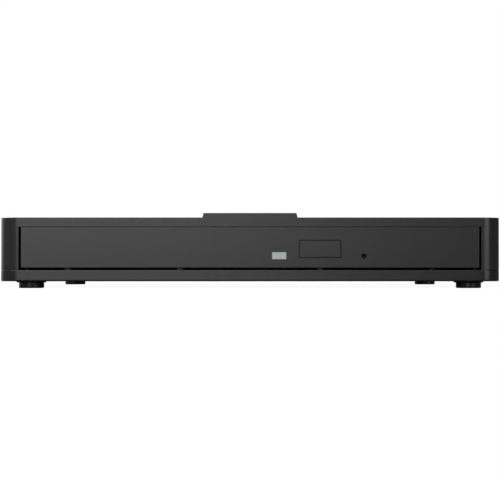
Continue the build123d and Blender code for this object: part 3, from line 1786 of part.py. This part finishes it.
plug_rear = bridge_front + plug_depth
plug_front = socket_mouth + plug_gap
plug_tip = socket_front + socket_back + plug_tip_gap
plug_side = socket_wall + socket_slack
with BuildPart() as drive_plug:
    slab(
        (socket_left + plug_inset, plug_front, bridge_top),
        (socket_right - plug_inset, plug_rear, socket_top),
    )
    slab(
        (socket_left + plug_side, plug_tip, tongue_bottom),
        (socket_right - plug_side, plug_front, tongue_top),
    )
save(drive_plug, "drive_plug")

bridge_chip_spots = ((29.0, 3.4, 6.0, 5.0, 1.0), (40.0, 3.6, 5.0, 3.2, 1.3), (17.0, 3.6, 3.0, 3.0, 1.6))
with BuildPart() as bridge_chips:
    for x, from_plug, long_x, long_y, tall in bridge_chip_spots:
        y = plug_rear + from_plug
        low = (x - long_x / 2, y - long_y / 2, bridge_top)
        slab(low, (x + long_x / 2, y + long_y / 2, bridge_top + tall))
save(bridge_chips, "bridge_chips")

usb_sink = 0.25
usb_corner_ease = 0.02
usb_back = 0.8
usb_tongue_half = 3.3
usb_tongue_half_height = 0.35
usb_tongue_inset = 0.8
usb_mouth = rear - usb_sink
usb_rear = usb_mouth - usb_length
usb_corner = usb_tall / 2 - usb_corner_ease
with BuildPart() as usb_port:
    with BuildSketch(face_plane(usb_mouth)):
        with Locations((usb_x, usb_middle)):
            RectangleRounded(usb_width, usb_tall, usb_corner)
    extrude(amount=usb_length)
    with BuildSketch(face_plane(usb_mouth)):
        with Locations((usb_x, usb_middle)):
            RectangleRounded(usb_width - 2 * usb_shell, usb_tall - 2 * usb_shell, usb_corner - usb_shell)
    extrude(amount=usb_length - usb_back, mode=Mode.SUBTRACT)
    slab(
        (usb_x - usb_tongue_half, usb_rear, usb_middle - usb_tongue_half_height),
        (usb_x + usb_tongue_half, usb_mouth - usb_tongue_inset, usb_middle + usb_tongue_half_height),
    )
save(usb_port, "usb_port")

print("casing", round(case_width, 2), "x", round(case_depth, 2), "x", round(lid_top + band_height, 2))
drive_size = (2 * drive_half, drive_rear - drive_front, drive_top - drive_bottom)
print("drive", " x ".join(str(round(size, 2)) for size in drive_size))
print("screw turn per metre of sled travel", round(-2 * pi / screw_pitch * 1000, 2))
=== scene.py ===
import json
from math import cos, pi, radians, sin, tau

import bmesh
import bpy
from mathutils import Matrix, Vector


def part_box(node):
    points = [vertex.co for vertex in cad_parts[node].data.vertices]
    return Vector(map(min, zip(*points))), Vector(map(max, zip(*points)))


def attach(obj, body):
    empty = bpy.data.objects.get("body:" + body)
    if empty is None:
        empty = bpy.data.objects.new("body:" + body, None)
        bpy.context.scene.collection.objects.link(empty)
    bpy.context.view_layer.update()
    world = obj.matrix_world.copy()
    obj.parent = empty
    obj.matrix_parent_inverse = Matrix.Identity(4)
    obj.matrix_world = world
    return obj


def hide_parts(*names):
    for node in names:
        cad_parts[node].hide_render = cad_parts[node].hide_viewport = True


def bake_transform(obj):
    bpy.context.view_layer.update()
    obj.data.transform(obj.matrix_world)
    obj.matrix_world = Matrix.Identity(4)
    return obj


# Looks of the external disc drive. Metres, +Z is up, the drawer's front faces -Y.
MM = 0.001
GRID = 1e-7
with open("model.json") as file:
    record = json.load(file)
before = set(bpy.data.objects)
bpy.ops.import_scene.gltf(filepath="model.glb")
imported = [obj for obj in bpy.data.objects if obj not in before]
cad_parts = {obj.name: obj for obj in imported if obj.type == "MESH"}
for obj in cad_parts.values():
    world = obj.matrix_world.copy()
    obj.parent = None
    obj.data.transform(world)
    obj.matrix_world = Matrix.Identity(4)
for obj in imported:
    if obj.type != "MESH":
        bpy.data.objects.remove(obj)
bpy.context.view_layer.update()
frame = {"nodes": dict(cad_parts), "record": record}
nodes = frame["nodes"]


def make_node(tree, kind, inputs, **options):
    """A node with its options and inputs; an input is a value or another node's output."""
    made = tree.nodes.new(kind)
    for key, value in options.items():
        setattr(made, key, value)
    for key, value in inputs.items():
        if isinstance(value, bpy.types.NodeSocket):
            tree.links.new(value, made.inputs[key])
        else:
            made.inputs[key].default_value = value
    return made


class Paint:
    """A node material over one Principled surface; its pattern sticks to the piece, at real size."""

    def __init__(self, name):
        self.material = bpy.data.materials.new(name)
        self.material.use_nodes = True
        self.tree = self.material.node_tree
        self.tree.nodes.clear()
        self.surface = self.tree.nodes.new("ShaderNodeBsdfPrincipled")
        output = self.tree.nodes.new("ShaderNodeOutputMaterial")
        self.tree.links.new(self.surface.outputs["BSDF"], output.inputs["Surface"])
        self.place = self.tree.nodes.new("ShaderNodeTexCoord").outputs["Object"]
        self.relief = None

    def node(self, kind, inputs, **options):
        return make_node(self.tree, kind, inputs, **options)

    def scaled(self, size, stretch=(1, 1, 1)):
        """Object coordinates counted in features of that size in metres, longer where stretched."""
        scale = [1 / (size * s) for s in stretch]
        return self.node("ShaderNodeMapping", {"Vector": self.place, "Scale": scale}).outputs[0]

    def noise(self, size, detail=2.0, stretch=(1, 1, 1)):
        """Soft random spots of about that size, from 0 to 1."""
        inputs = {"Vector": self.scaled(size, stretch), "Scale": 1.0, "Detail": detail}
        return self.node("ShaderNodeTexNoise", inputs).outputs["Fac"]

    def cells(self, size, output="Distance", **options):
        """Random cells of about that size: the distance to each one's middle, or its own colour."""
        inputs = {"Vector": self.scaled(size), "Scale": 1.0}
        return self.node("ShaderNodeTexVoronoi", inputs, **options).outputs[output]

    def axis(self, index):
        """One object coordinate in metres."""
        return self.node("ShaderNodeSeparateXYZ", {"Vector": self.place}).outputs[index]

    def math(self, operation, a, b=0.0):
        return self.node("ShaderNodeMath", {0: a, 1: b}, operation=operation).outputs[0]

    def lines(self, index, pitch, share):
        """1 on stripes across one axis that cover a share of each pitch, and 0 between them."""
        step = self.math("FRACT", self.math("ADD", self.math("DIVIDE", self.axis(index), pitch), 1000.0))
        return self.math("LESS_THAN", step, share)

    def waves(self, index, pitch):
        """A rise and fall from 0 to 1 over each pitch along one axis."""
        turn = self.math("MULTIPLY", self.axis(index), tau / pitch)
        return self.math("MULTIPLY", self.math("ADD", self.math("SINE", turn), 1.0), 0.5)

    def ramp(self, value, start, end, low, high):
        inputs = {"Value": value, "From Min": start, "From Max": end, "To Min": low, "To Max": high}
        return self.node("ShaderNodeMapRange", inputs).outputs["Result"]

    def mixed(self, factor, a, b):
        """A colour between two colours."""
        mix = self.node("ShaderNodeMix", {0: factor}, data_type="RGBA")
        for socket, value in ((6, a), (7, b)):
            if isinstance(value, bpy.types.NodeSocket):
                self.tree.links.new(value, mix.inputs[socket])
            else:
                mix.inputs[socket].default_value = (*value[:3], 1.0)
        return mix.outputs[2]

    def bump(self, height, depth):
        """Relief of that depth in metres, added to what is there."""
        inputs = {"Height": height, "Distance": depth}
        if self.relief is not None:
            inputs["Normal"] = self.relief
        self.relief = self.node("ShaderNodeBump", inputs).outputs["Normal"]

    def done(self, **inputs):
        """Sets the surface's own inputs, with _ for a space in their names."""
        if self.relief is not None:
            inputs["Normal"] = self.relief
        for key, value in inputs.items():
            socket = self.surface.inputs[key.replace("_", " ")]
            if isinstance(value, bpy.types.NodeSocket):
                self.tree.links.new(value, socket)
            elif isinstance(value, tuple) and len(value) == 3:
                socket.default_value = (*value, 1.0)
            else:
                socket.default_value = value
        return self.material


def shade(colour, factor):
    return tuple(c * factor for c in colour)


def plastic(name, colour, roughness, grain=0.25, depth=0.012, specular=0.5):
    """Moulded plastic with an eroded grain and faint flow tones."""
    paint = Paint(name)
    fine = paint.noise(grain * MM, 2.0)
    tone = paint.mixed(paint.noise(11 * MM, 3.0), shade(colour, 0.94), shade(colour, 1.06))
    paint.bump(fine, depth * MM)
    rough = paint.ramp(fine, 0.3, 0.7, roughness - 0.04, roughness + 0.04)
    return paint.done(Base_Color=tone, Roughness=rough, Specular_IOR_Level=specular)


def steel(name, colour, roughness, along=0, depth=0.003, metallic=1.0):
    """Rolled or drawn metal with fine lines along one axis and faint smears."""
    paint = Paint(name)
    stretch = [1.0, 1.0, 1.0]
    stretch[along] = 40.0
    hair = paint.noise(0.12 * MM, 3.0, stretch)
    smear = paint.noise(6 * MM, 3.0)
    paint.bump(hair, depth * MM)
    tone = paint.mixed(smear, shade(colour, 0.9), shade(colour, 1.06))
    rough = paint.math("ADD", paint.ramp(smear, 0.3, 0.7, roughness - 0.05, roughness + 0.05),
                       paint.ramp(hair, 0.3, 0.7, -0.04, 0.06))
    return paint.done(Base_Color=tone, Roughness=rough, Metallic=metallic)


def galvanised(name, colour):
    """Zinc-coated sheet with crystal flakes."""
    paint = Paint(name)
    flake = paint.cells(2.6 * MM, "Color")
    gray = paint.node("ShaderNodeSeparateColor", {"Color": flake}).outputs[0]
    fine = paint.noise(0.3 * MM, 3.0)
    tone = paint.mixed(gray, shade(colour, 0.82), shade(colour, 1.08))
    rough = paint.math("ADD", paint.ramp(gray, 0.0, 1.0, 0.3, 0.46),
                       paint.ramp(fine, 0.3, 0.7, -0.03, 0.05))
    paint.bump(fine, 0.004 * MM)
    return paint.done(Base_Color=tone, Roughness=rough, Metallic=1.0)


def circuit_board(name):
    """Green solder mask over copper tracks, with tinned vias."""
    paint = Paint(name)
    pick = paint.node("ShaderNodeSeparateColor",
                      {"Color": paint.cells(5 * MM, "Color", distance="CHEBYCHEV")})
    along_x = paint.lines(1, 0.5 * MM, 0.45)
    along_y = paint.lines(0, 0.5 * MM, 0.45)
    turned = paint.math("GREATER_THAN", pick.outputs[0], 0.5)
    track = paint.math("ADD", paint.math("MULTIPLY", along_x, turned),
                       paint.math("MULTIPLY", along_y, paint.math("SUBTRACT", 1.0, turned)))
    track = paint.math("MULTIPLY", track, paint.math("GREATER_THAN", pick.outputs[1], 0.35))
    via = paint.math("LESS_THAN", paint.cells(2.2 * MM), 0.13)
    mask = paint.mixed(track, (0.006, 0.075, 0.032), (0.012, 0.15, 0.06))
    tone = paint.mixed(via, mask, (0.62, 0.6, 0.56))
    paint.bump(track, 0.03 * MM)
    fine = paint.noise(0.4 * MM)
    return paint.done(Base_Color=tone, Metallic=via, Roughness=paint.ramp(fine, 0.3, 0.7, 0.24, 0.34),
                      Coat_Weight=0.3, Coat_Roughness=0.2)


def ribbon(name):
    """White flat ribbon with its conductors showing through."""
    paint = Paint(name)
    wire = paint.lines(0, 0.5 * MM, 0.6)
    fine = paint.noise(0.3 * MM)
    tone = paint.mixed(wire, (0.72, 0.72, 0.68), (0.42, 0.41, 0.38))
    paint.bump(wire, 0.02 * MM)
    return paint.done(Base_Color=tone, Roughness=paint.ramp(fine, 0.3, 0.7, 0.25, 0.38))


def winding(name, index):
    """Enamelled copper wire wound side by side, turns apart along one axis, with painted shade in the
    grooves between the turns.
    """
    paint = Paint(name)
    turn = paint.waves(index, 0.16 * MM)
    smear = paint.noise(1.5 * MM)
    # The grooves between the turns are painted darker: painted shade
    copper = paint.mixed(turn, (0.22, 0.075, 0.03), (0.72, 0.3, 0.13))
    paint.bump(turn, 0.05 * MM)
    rough = paint.ramp(smear, 0.3, 0.7, 0.28, 0.42)
    return paint.done(Base_Color=copper, Metallic=0.85, Roughness=rough, Coat_Weight=0.4,
                      Coat_Roughness=0.15)


def rubber(name, colour, roughness):
    """Rubber with a fine skin and traces of dust."""
    paint = Paint(name)
    fine = paint.noise(0.15 * MM, 2.0)
    dust = paint.noise(1.8 * MM, 4.0)
    paint.bump(fine, 0.01 * MM)
    tone = paint.mixed(dust, shade(colour, 0.8), shade(colour, 1.25))
    rough = paint.ramp(dust, 0.3, 0.7, roughness - 0.08, roughness + 0.08)
    return paint.done(Base_Color=tone, Roughness=rough, Specular_IOR_Level=0.4)


def foam_paint(name, colour):
    """Open-cell foam, with painted shade in its pits."""
    paint = Paint(name)
    pits_and_shade = paint.cells(0.55 * MM)
    fine = paint.noise(0.2 * MM, 3.0)
    # The pits at the cells' middles are painted darker: painted shade
    tone = paint.mixed(pits_and_shade, shade(colour, 0.35), shade(colour, 1.4))
    paint.bump(pits_and_shade, 0.25 * MM)
    paint.bump(fine, 0.05 * MM)
    return paint.done(Base_Color=tone, Roughness=0.95, Specular_IOR_Level=0.15)


def clear(name, colour, transmission, roughness, coat=0.0, spread=0.1):
    """Clear or milky resin, or coated glass, with fine flow marks."""
    paint = Paint(name)
    flow = paint.noise(0.7 * MM, 3.0)
    tone = paint.mixed(flow, shade(colour, 1 - spread), shade(colour, 1 + spread))
    paint.bump(paint.noise(0.2 * MM), 0.006 * MM)
    return paint.done(Base_Color=tone, Transmission_Weight=transmission, Coat_Weight=coat,
                      Roughness=paint.ramp(flow, 0.3, 0.7, roughness * 0.8, roughness * 1.2))


def cast_metal(name, colour):
    """Die-cast alloy with a sandy skin."""
    paint = Paint(name)
    sand = paint.noise(0.2 * MM, 3.0)
    smear = paint.noise(4 * MM, 3.0)
    paint.bump(sand, 0.02 * MM)
    tone = paint.mixed(smear, shade(colour, 0.85), shade(colour, 1.05))
    rough = paint.ramp(sand, 0.3, 0.7, 0.38, 0.55)
    return paint.done(Base_Color=tone, Metallic=0.9, Roughness=rough)


case_colour = (0.024, 0.024, 0.0242)
looks = {
    "case_plastic": plastic("case_plastic", case_colour, 0.2, grain=0.3, depth=0.004),
    "foot_rubber": rubber("foot_rubber", (0.045, 0.045, 0.046), 0.22),
    "black_screw_steel": steel("black_screw_steel", (0.05, 0.05, 0.052), 0.38, 2, 0.004, 0.7),
    "plain_screw_steel": steel("plain_screw_steel", (0.6, 0.6, 0.61), 0.28, 2, 0.004),
    "foam": foam_paint("foam", (0.035, 0.035, 0.038)),
    "zinc_steel": galvanised("zinc_steel", (0.56, 0.57, 0.585)),
    "frame_steel": galvanised("frame_steel", (0.5, 0.5, 0.51)),
    "bright_steel": steel("bright_steel", (0.68, 0.68, 0.69), 0.2, 1),
    "guide_plastic": plastic("guide_plastic", (0.66, 0.65, 0.6), 0.42, grain=0.2, depth=0.006),
    "board_green": circuit_board("board_green"),
    "socket_plastic": plastic("socket_plastic", (0.022, 0.022, 0.023), 0.5),
    "chip_black": plastic("chip_black", (0.02, 0.02, 0.021), 0.6, grain=0.12, depth=0.01, specular=0.3),
    "ribbon_film": ribbon("ribbon_film"),
    "nickel_shell": steel("nickel_shell", (0.66, 0.64, 0.61), 0.2, 1, 0.002),
    "tray_plastic": plastic("tray_plastic", (0.02, 0.02, 0.0205), 0.44, grain=0.35, depth=0.016),
    "window_plastic": clear("window_plastic", (0.56, 0.585, 0.6), 0.0, 0.3, spread=0.03),
    "indicator_resin": clear("indicator_resin", (0.8, 0.8, 0.74), 0.6, 0.15),
    "coil_copper": winding("coil_copper", 0),
    "claw_plastic": plastic("claw_plastic", (0.74, 0.73, 0.68), 0.4, grain=0.15, depth=0.006),
    "sled_alloy": cast_metal("sled_alloy", (0.5, 0.5, 0.51)),
    "magnet_plate": steel("magnet_plate", (0.6, 0.6, 0.6), 0.14, 2, 0.001),
    "lens_glass": clear("lens_glass", (0.8, 0.86, 0.97), 0.9, 0.03, 0.5),
}
# The pan is a darker copy of the case plastic, which paints shade on the pan; it is also a little
# glossier than the rest of the case
shaded_pan = plastic("shaded_pan_plastic", shade(case_colour, 0.62), 0.18, grain=0.3, depth=0.004, specular=0.62)
shaded_looks = {"bottom_cover": shaded_pan}
slot_of = {sub["node"]: sub["material_slot"] for sub in frame["record"]["subparts"]}
# The bottom cover takes the darker copy of the case plastic, with its painted shade; every other node
# takes its slot's look
for name, piece in nodes.items():
    piece.data.materials.clear()
    piece.data.materials.append(shaded_looks.get(name, looks[slot_of[name]]))


def add_piece(name, bm, slot, body=None):
    """Turns a mesh in the making into a smooth piece, which rides on a body if one is given."""
    bmesh.ops.recalc_face_normals(bm, faces=bm.faces)
    mesh = bpy.data.meshes.new(name)
    bm.to_mesh(mesh)
    bm.free()
    mesh.materials.append(looks[slot])
    for face in mesh.polygons:
        face.use_smooth = True
    piece = bpy.data.objects.new(name, mesh)
    bpy.context.scene.collection.objects.link(piece)
    if body:
        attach(piece, body)
    return piece


def rounded_block(bm, centre, half, radius, steps, bulge=0.0):
    """A block with round edges, whose sides swell by bulge at half height."""
    def skin(point):
        inner = Vector([max(-h + radius, min(h - radius, c)) for c, h in zip(point, half)])
        out = Vector(point) - inner
        spot = inner + out.normalized() * radius
        swell = bulge * (1 - (spot.z / half[2]) ** 2)
        spot.x += swell * spot.x / half[0]
        spot.y += swell * spot.y / half[1]
        return Vector(centre) + spot

    corners = {}

    def corner(point):
        key = tuple(round(c / GRID) for c in point)
        if key not in corners:
            corners[key] = bm.verts.new(skin(point))
        return corners[key]

    line = [sin((i / steps - 0.5) * pi) for i in range(steps + 1)]
    for axis in range(3):
        for side in (-1, 1):
            grid = []
            for u in line:
                row = []
                for v in line:
                    point = [0.0, 0.0, 0.0]
                    point[axis] = side * half[axis]
                    point[(axis + 1) % 3] = u * half[(axis + 1) % 3]
                    point[(axis + 2) % 3] = v * half[(axis + 2) % 3]
                    row.append(corner(point))
                grid.append(row)
            for i in range(steps):
                for j in range(steps):
                    bm.faces.new((grid[i][j], grid[i + 1][j], grid[i + 1][j + 1], grid[i][j + 1]))


# Foam pads between the drive's lid and the casing's roof
low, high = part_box("foam_pads")
pad_half = 7.0 * MM
pad_half_height = (high.z - low.z) / 2
pad_round = 0.6 * MM
pad_bulge = 0.25 * MM
pad_steps = 10
pad_spots = ((-51, -57), (51, -57), (-48, 46), (48, 46))
bm = bmesh.new()
for x, y in pad_spots:
    centre = (x * MM, y * MM, (low.z + high.z) / 2)
    rounded_block(bm, centre, (pad_half, pad_half, pad_half_height), pad_round, pad_steps, pad_bulge)
pads = add_piece("foam_pad_set", bm, "foam", "casing")
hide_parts("foam_pads")

# Contacts on the USB socket's tongue, on both of its sides
low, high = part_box("usb_port")
middle = (low + high) / 2
tongue_half = 0.35 * MM
contact_half = (0.125 * MM, 1.525 * MM, 0.015 * MM)
contact_round = 0.012 * MM
contact_steps = 3
contact_y = 69.525 * MM
contact_pitch = 0.5 * MM
contact_count = 12
bm = bmesh.new()
for side in (-1, 1):
    for number in range(contact_count):
        x = middle.x + (number - (contact_count - 1) / 2) * contact_pitch
        z = middle.z + side * (tongue_half + contact_half[2])
        rounded_block(bm, (x, contact_y, z), contact_half, contact_round, contact_steps)
add_piece("usb_contacts", bm, "nickel_shell", "casing")

# Suspension wires of the lens block, in the frame of the sled's travel
low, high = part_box("lens_magnets")
lens_middle = (low + high) / 2
block_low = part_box("lens_holder")[0].z
travel_angle = radians(225)
travel = Vector((cos(travel_angle), sin(travel_angle), 0.0))
across = Vector((-travel.y, travel.x, 0.0))


def beside_lens(out, aside, z):
    """A point given from the lens along the sled's travel and across it."""
    return Vector((lens_middle.x, lens_middle.y, z)) + travel * out + across * aside


def wire(bm, start, end, radius, bead, sides=8, steps=12):
    """A round wire between two points, whose ends grow into beads of that radius."""
    along = (end - start).normalized()
    right = along.cross(Vector((0, 0, 1))).normalized()
    up = right.cross(along)
    rings = []
    for step in range(steps + 1):
        share = step / steps
        from_end = min(share, 1 - share) * steps
        wide = radius + (bead - radius) * max(0.0, 1 - from_end)
        spot = start.lerp(end, share)
        turns = [tau * i / sides for i in range(sides)]
        rings.append([bm.verts.new(spot + right * wide * cos(t) + up * wide * sin(t)) for t in turns])
    for near, far in zip(rings, rings[1:]):
        for i in range(sides):
            j = (i + 1) % sides
            bm.faces.new((near[i], near[j], far[j], far[i]))
    bm.faces.new(rings[0])
    bm.faces.new(rings[-1])


wire_out = 3.56 * MM
wire_start = -7.5 * MM
wire_end = 4.5 * MM
wire_heights = (0.3 * MM, 1.25 * MM)
wire_radius = 0.045 * MM
bead_radius = 0.117 * MM
bm = bmesh.new()
for side in (-1, 1):
    for height in wire_heights:
        start = beside_lens(side * wire_out, wire_start, block_low + height)
        end = beside_lens(side * wire_out, wire_end, block_low + height)
        wire(bm, start, end, wire_radius, bead_radius)
wires = add_piece("lens_wires", bm, "bright_steel")
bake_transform(wires)


def spring(name, node, origin, outward, nearness):
    """
    A spring of a CAD node, which sits between the body that holds it and the body that it moves;
    the piece stays where it is. It takes the part of the node that an origin sees along outward,
    where the cosine to outward is at least nearness.
    """
    bm = bmesh.new()
    bm.from_mesh(nodes[node].data)
    others = [v for v in bm.verts if (v.co - origin).normalized().dot(outward) < nearness]
    bmesh.ops.delete(bm, geom=others, context="VERTS")
    piece = add_piece(name, bm, "bright_steel")
    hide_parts(node)
    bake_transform(piece)


# Springs of the hub's claws, seen from its middle
low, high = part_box("disc_hub")
hub = (low + high) / 2
low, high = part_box("claw_springs")
hub.z = (low.z + high.z) / 2
claw_sector = 0.5
for number, degrees in ((1, 0), (2, 120), (3, 240)):
    outward = Vector((cos(radians(degrees)), sin(radians(degrees)), 0.0))
    spring(f"claw_spring_{number}", "claw_springs", hub, outward, claw_sector)

# Springs of the latch and the ejector, seen from just before the end that is held
whole_node = -1.0
low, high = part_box("latch_spring")
seat = Vector((low.x - MM, (low.y + high.y) / 2, (low.z + high.z) / 2))
outward = Vector((1, 0, 0))
spring("latch_return_spring", "latch_spring", seat, outward, whole_node)
low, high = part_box("ejector_spring")
seat = Vector(((low.x + high.x) / 2, low.y - MM, (low.z + high.z) / 2))
outward = Vector((0, 1, 0))
spring("ejector_return_spring", "ejector_spring", seat, outward, whole_node)

# Floor, light and camera
scene = bpy.context.scene
scene.view_settings.view_transform = "Standard"
FLOOR_GLOW = 0.95
FLOOR_SEEN = 0.12
FLOOR_UNSEEN = 0.2
FLOOR_REACH = 3.0


def floor_paint():
    """White to the camera, with only a faint shadow, and dark gray to every other ray."""
    material = bpy.data.materials.new("studio_floor")
    material.use_nodes = True
    tree = material.node_tree
    tree.nodes.clear()
    seen = make_node(tree, "ShaderNodeLightPath", {}).outputs["Is Camera Ray"]
    strength = make_node(tree, "ShaderNodeMath", {0: seen, 1: FLOOR_GLOW}, operation="MULTIPLY")
    glow = make_node(tree, "ShaderNodeEmission", {"Strength": strength.outputs[0]})
    range_inputs = {"Value": seen, "To Min": FLOOR_UNSEEN, "To Max": FLOOR_SEEN}
    gray = make_node(tree, "ShaderNodeMapRange", range_inputs).outputs["Result"]
    matt = make_node(tree, "ShaderNodeBsdfDiffuse", {"Color": gray})
    total = make_node(tree, "ShaderNodeAddShader", {0: glow.outputs[0], 1: matt.outputs[0]})
    make_node(tree, "ShaderNodeOutputMaterial", {"Surface": total.outputs[0]})
    return material


bm = bmesh.new()
corners = ((-1, -1), (1, -1), (1, 1), (-1, 1))
bm.faces.new([bm.verts.new((x * FLOOR_REACH, y * FLOOR_REACH, 0.0)) for x, y in corners])
mesh = bpy.data.meshes.new("studio_floor")
bm.to_mesh(mesh)
bm.free()
mesh.materials.append(floor_paint())
floor = bpy.data.objects.new("studio_floor", mesh)
scene.collection.objects.link(floor)

# Brightness of the studio round the object: degrees from straight ahead, with the right side positive
STUDIO = (
    (-180, 1.0), (-125, 1.0), (-112, 0.3), (-28, 0.25), (-19, 2.2), (-1, 2.2), (3.5, 1.0), (8, 0.22),
    (24, 0.15), (29, 2.3), (50, 2.1), (56, 0.06), (165, 0.06), (180, 1.0),
)
TOP_VALUE = 2.5
FULL_TURN = 360.0
# Above the ring, the sky has one brightness; the change runs between these two heights
SKY_VALUE = 0.4
RING_TOP = 0.6
SKY_BOTTOM = 0.95
WHITE = (1, 1, 1, 1)
world = bpy.data.worlds.new("studio")
scene.world = world
world.use_nodes = True
tree = world.node_tree
tree.nodes.clear()
place = make_node(tree, "ShaderNodeTexCoord", {})
split = make_node(tree, "ShaderNodeSeparateXYZ", {0: place.outputs["Generated"]})
flip = make_node(tree, "ShaderNodeMath", {0: split.outputs["Y"], 1: -1.0}, operation="MULTIPLY")
turn = make_node(tree, "ShaderNodeMath", {0: split.outputs["X"], 1: flip.outputs[0]}, operation="ARCTAN2")
share = make_node(tree, "ShaderNodeMapRange", {"Value": turn.outputs[0], "From Min": -pi, "From Max": pi})
ring = make_node(tree, "ShaderNodeValToRGB", {"Fac": share.outputs["Result"]})
stops = ring.color_ramp.elements
while len(stops) < len(STUDIO):
    stops.new(0.5)
for stop, (degrees, value) in zip(stops, STUDIO):
    stop.position = 0.5 + degrees / FULL_TURN
    stop.color = (value / TOP_VALUE, value / TOP_VALUE, value / TOP_VALUE, 1.0)
level = make_node(tree, "ShaderNodeMath", {0: ring.outputs["Color"], 1: TOP_VALUE}, operation="MULTIPLY")
lift_inputs = {"Value": split.outputs["Z"], "From Min": RING_TOP, "From Max": SKY_BOTTOM}
lift = make_node(tree, "ShaderNodeMapRange", lift_inputs, interpolation_type="SMOOTHSTEP")
mix_inputs = {0: lift.outputs["Result"], 2: level.outputs[0], 3: SKY_VALUE}
mix = make_node(tree, "ShaderNodeMix", mix_inputs, data_type="FLOAT")
studio = make_node(tree, "ShaderNodeBackground", {"Color": WHITE, "Strength": mix.outputs[0]})
white = make_node(tree, "ShaderNodeBackground", {"Color": WHITE})
seen = make_node(tree, "ShaderNodeLightPath", {}).outputs["Is Camera Ray"]
either = make_node(tree, "ShaderNodeMixShader", {0: seen, 1: studio.outputs[0], 2: white.outputs[0]})
make_node(tree, "ShaderNodeOutputWorld", {"Surface": either.outputs[0]})

# A square softbox to the left, above and before the object
KEY_SPOT = Vector((-0.35, -0.38, 0.28))
KEY_AIM = Vector((-0.02, -0.12, 0.0))
KEY_SIDE = 0.22
KEY_RADIANCE = 4.0
light = bpy.data.lights.new("key", "AREA")
light.shape = "RECTANGLE"
light.size = KEY_SIDE
light.size_y = KEY_SIDE
light.energy = KEY_RADIANCE * pi * KEY_SIDE * KEY_SIDE
key = bpy.data.objects.new("key", light)
key.location = KEY_SPOT
key.rotation_euler = (KEY_AIM - KEY_SPOT).to_track_quat("-Z", "Y").to_euler()
scene.collection.objects.link(key)

# The camera stands before the front, a quarter of the way up, and looks up by less than a degree
CAMERA_SPOT = (0, -0.5475, 0.00525)
CAMERA_TILT = radians(90.66)
camera_data = bpy.data.cameras.new("camera")
camera_data.lens = 122.58
camera_data.sensor_width = 36.0
camera_data.clip_start = 0.01
camera = bpy.data.objects.new("camera", camera_data)
camera.location = CAMERA_SPOT
camera.rotation_euler = (CAMERA_TILT, 0, 0)
scene.collection.objects.link(camera)
scene.camera = camera
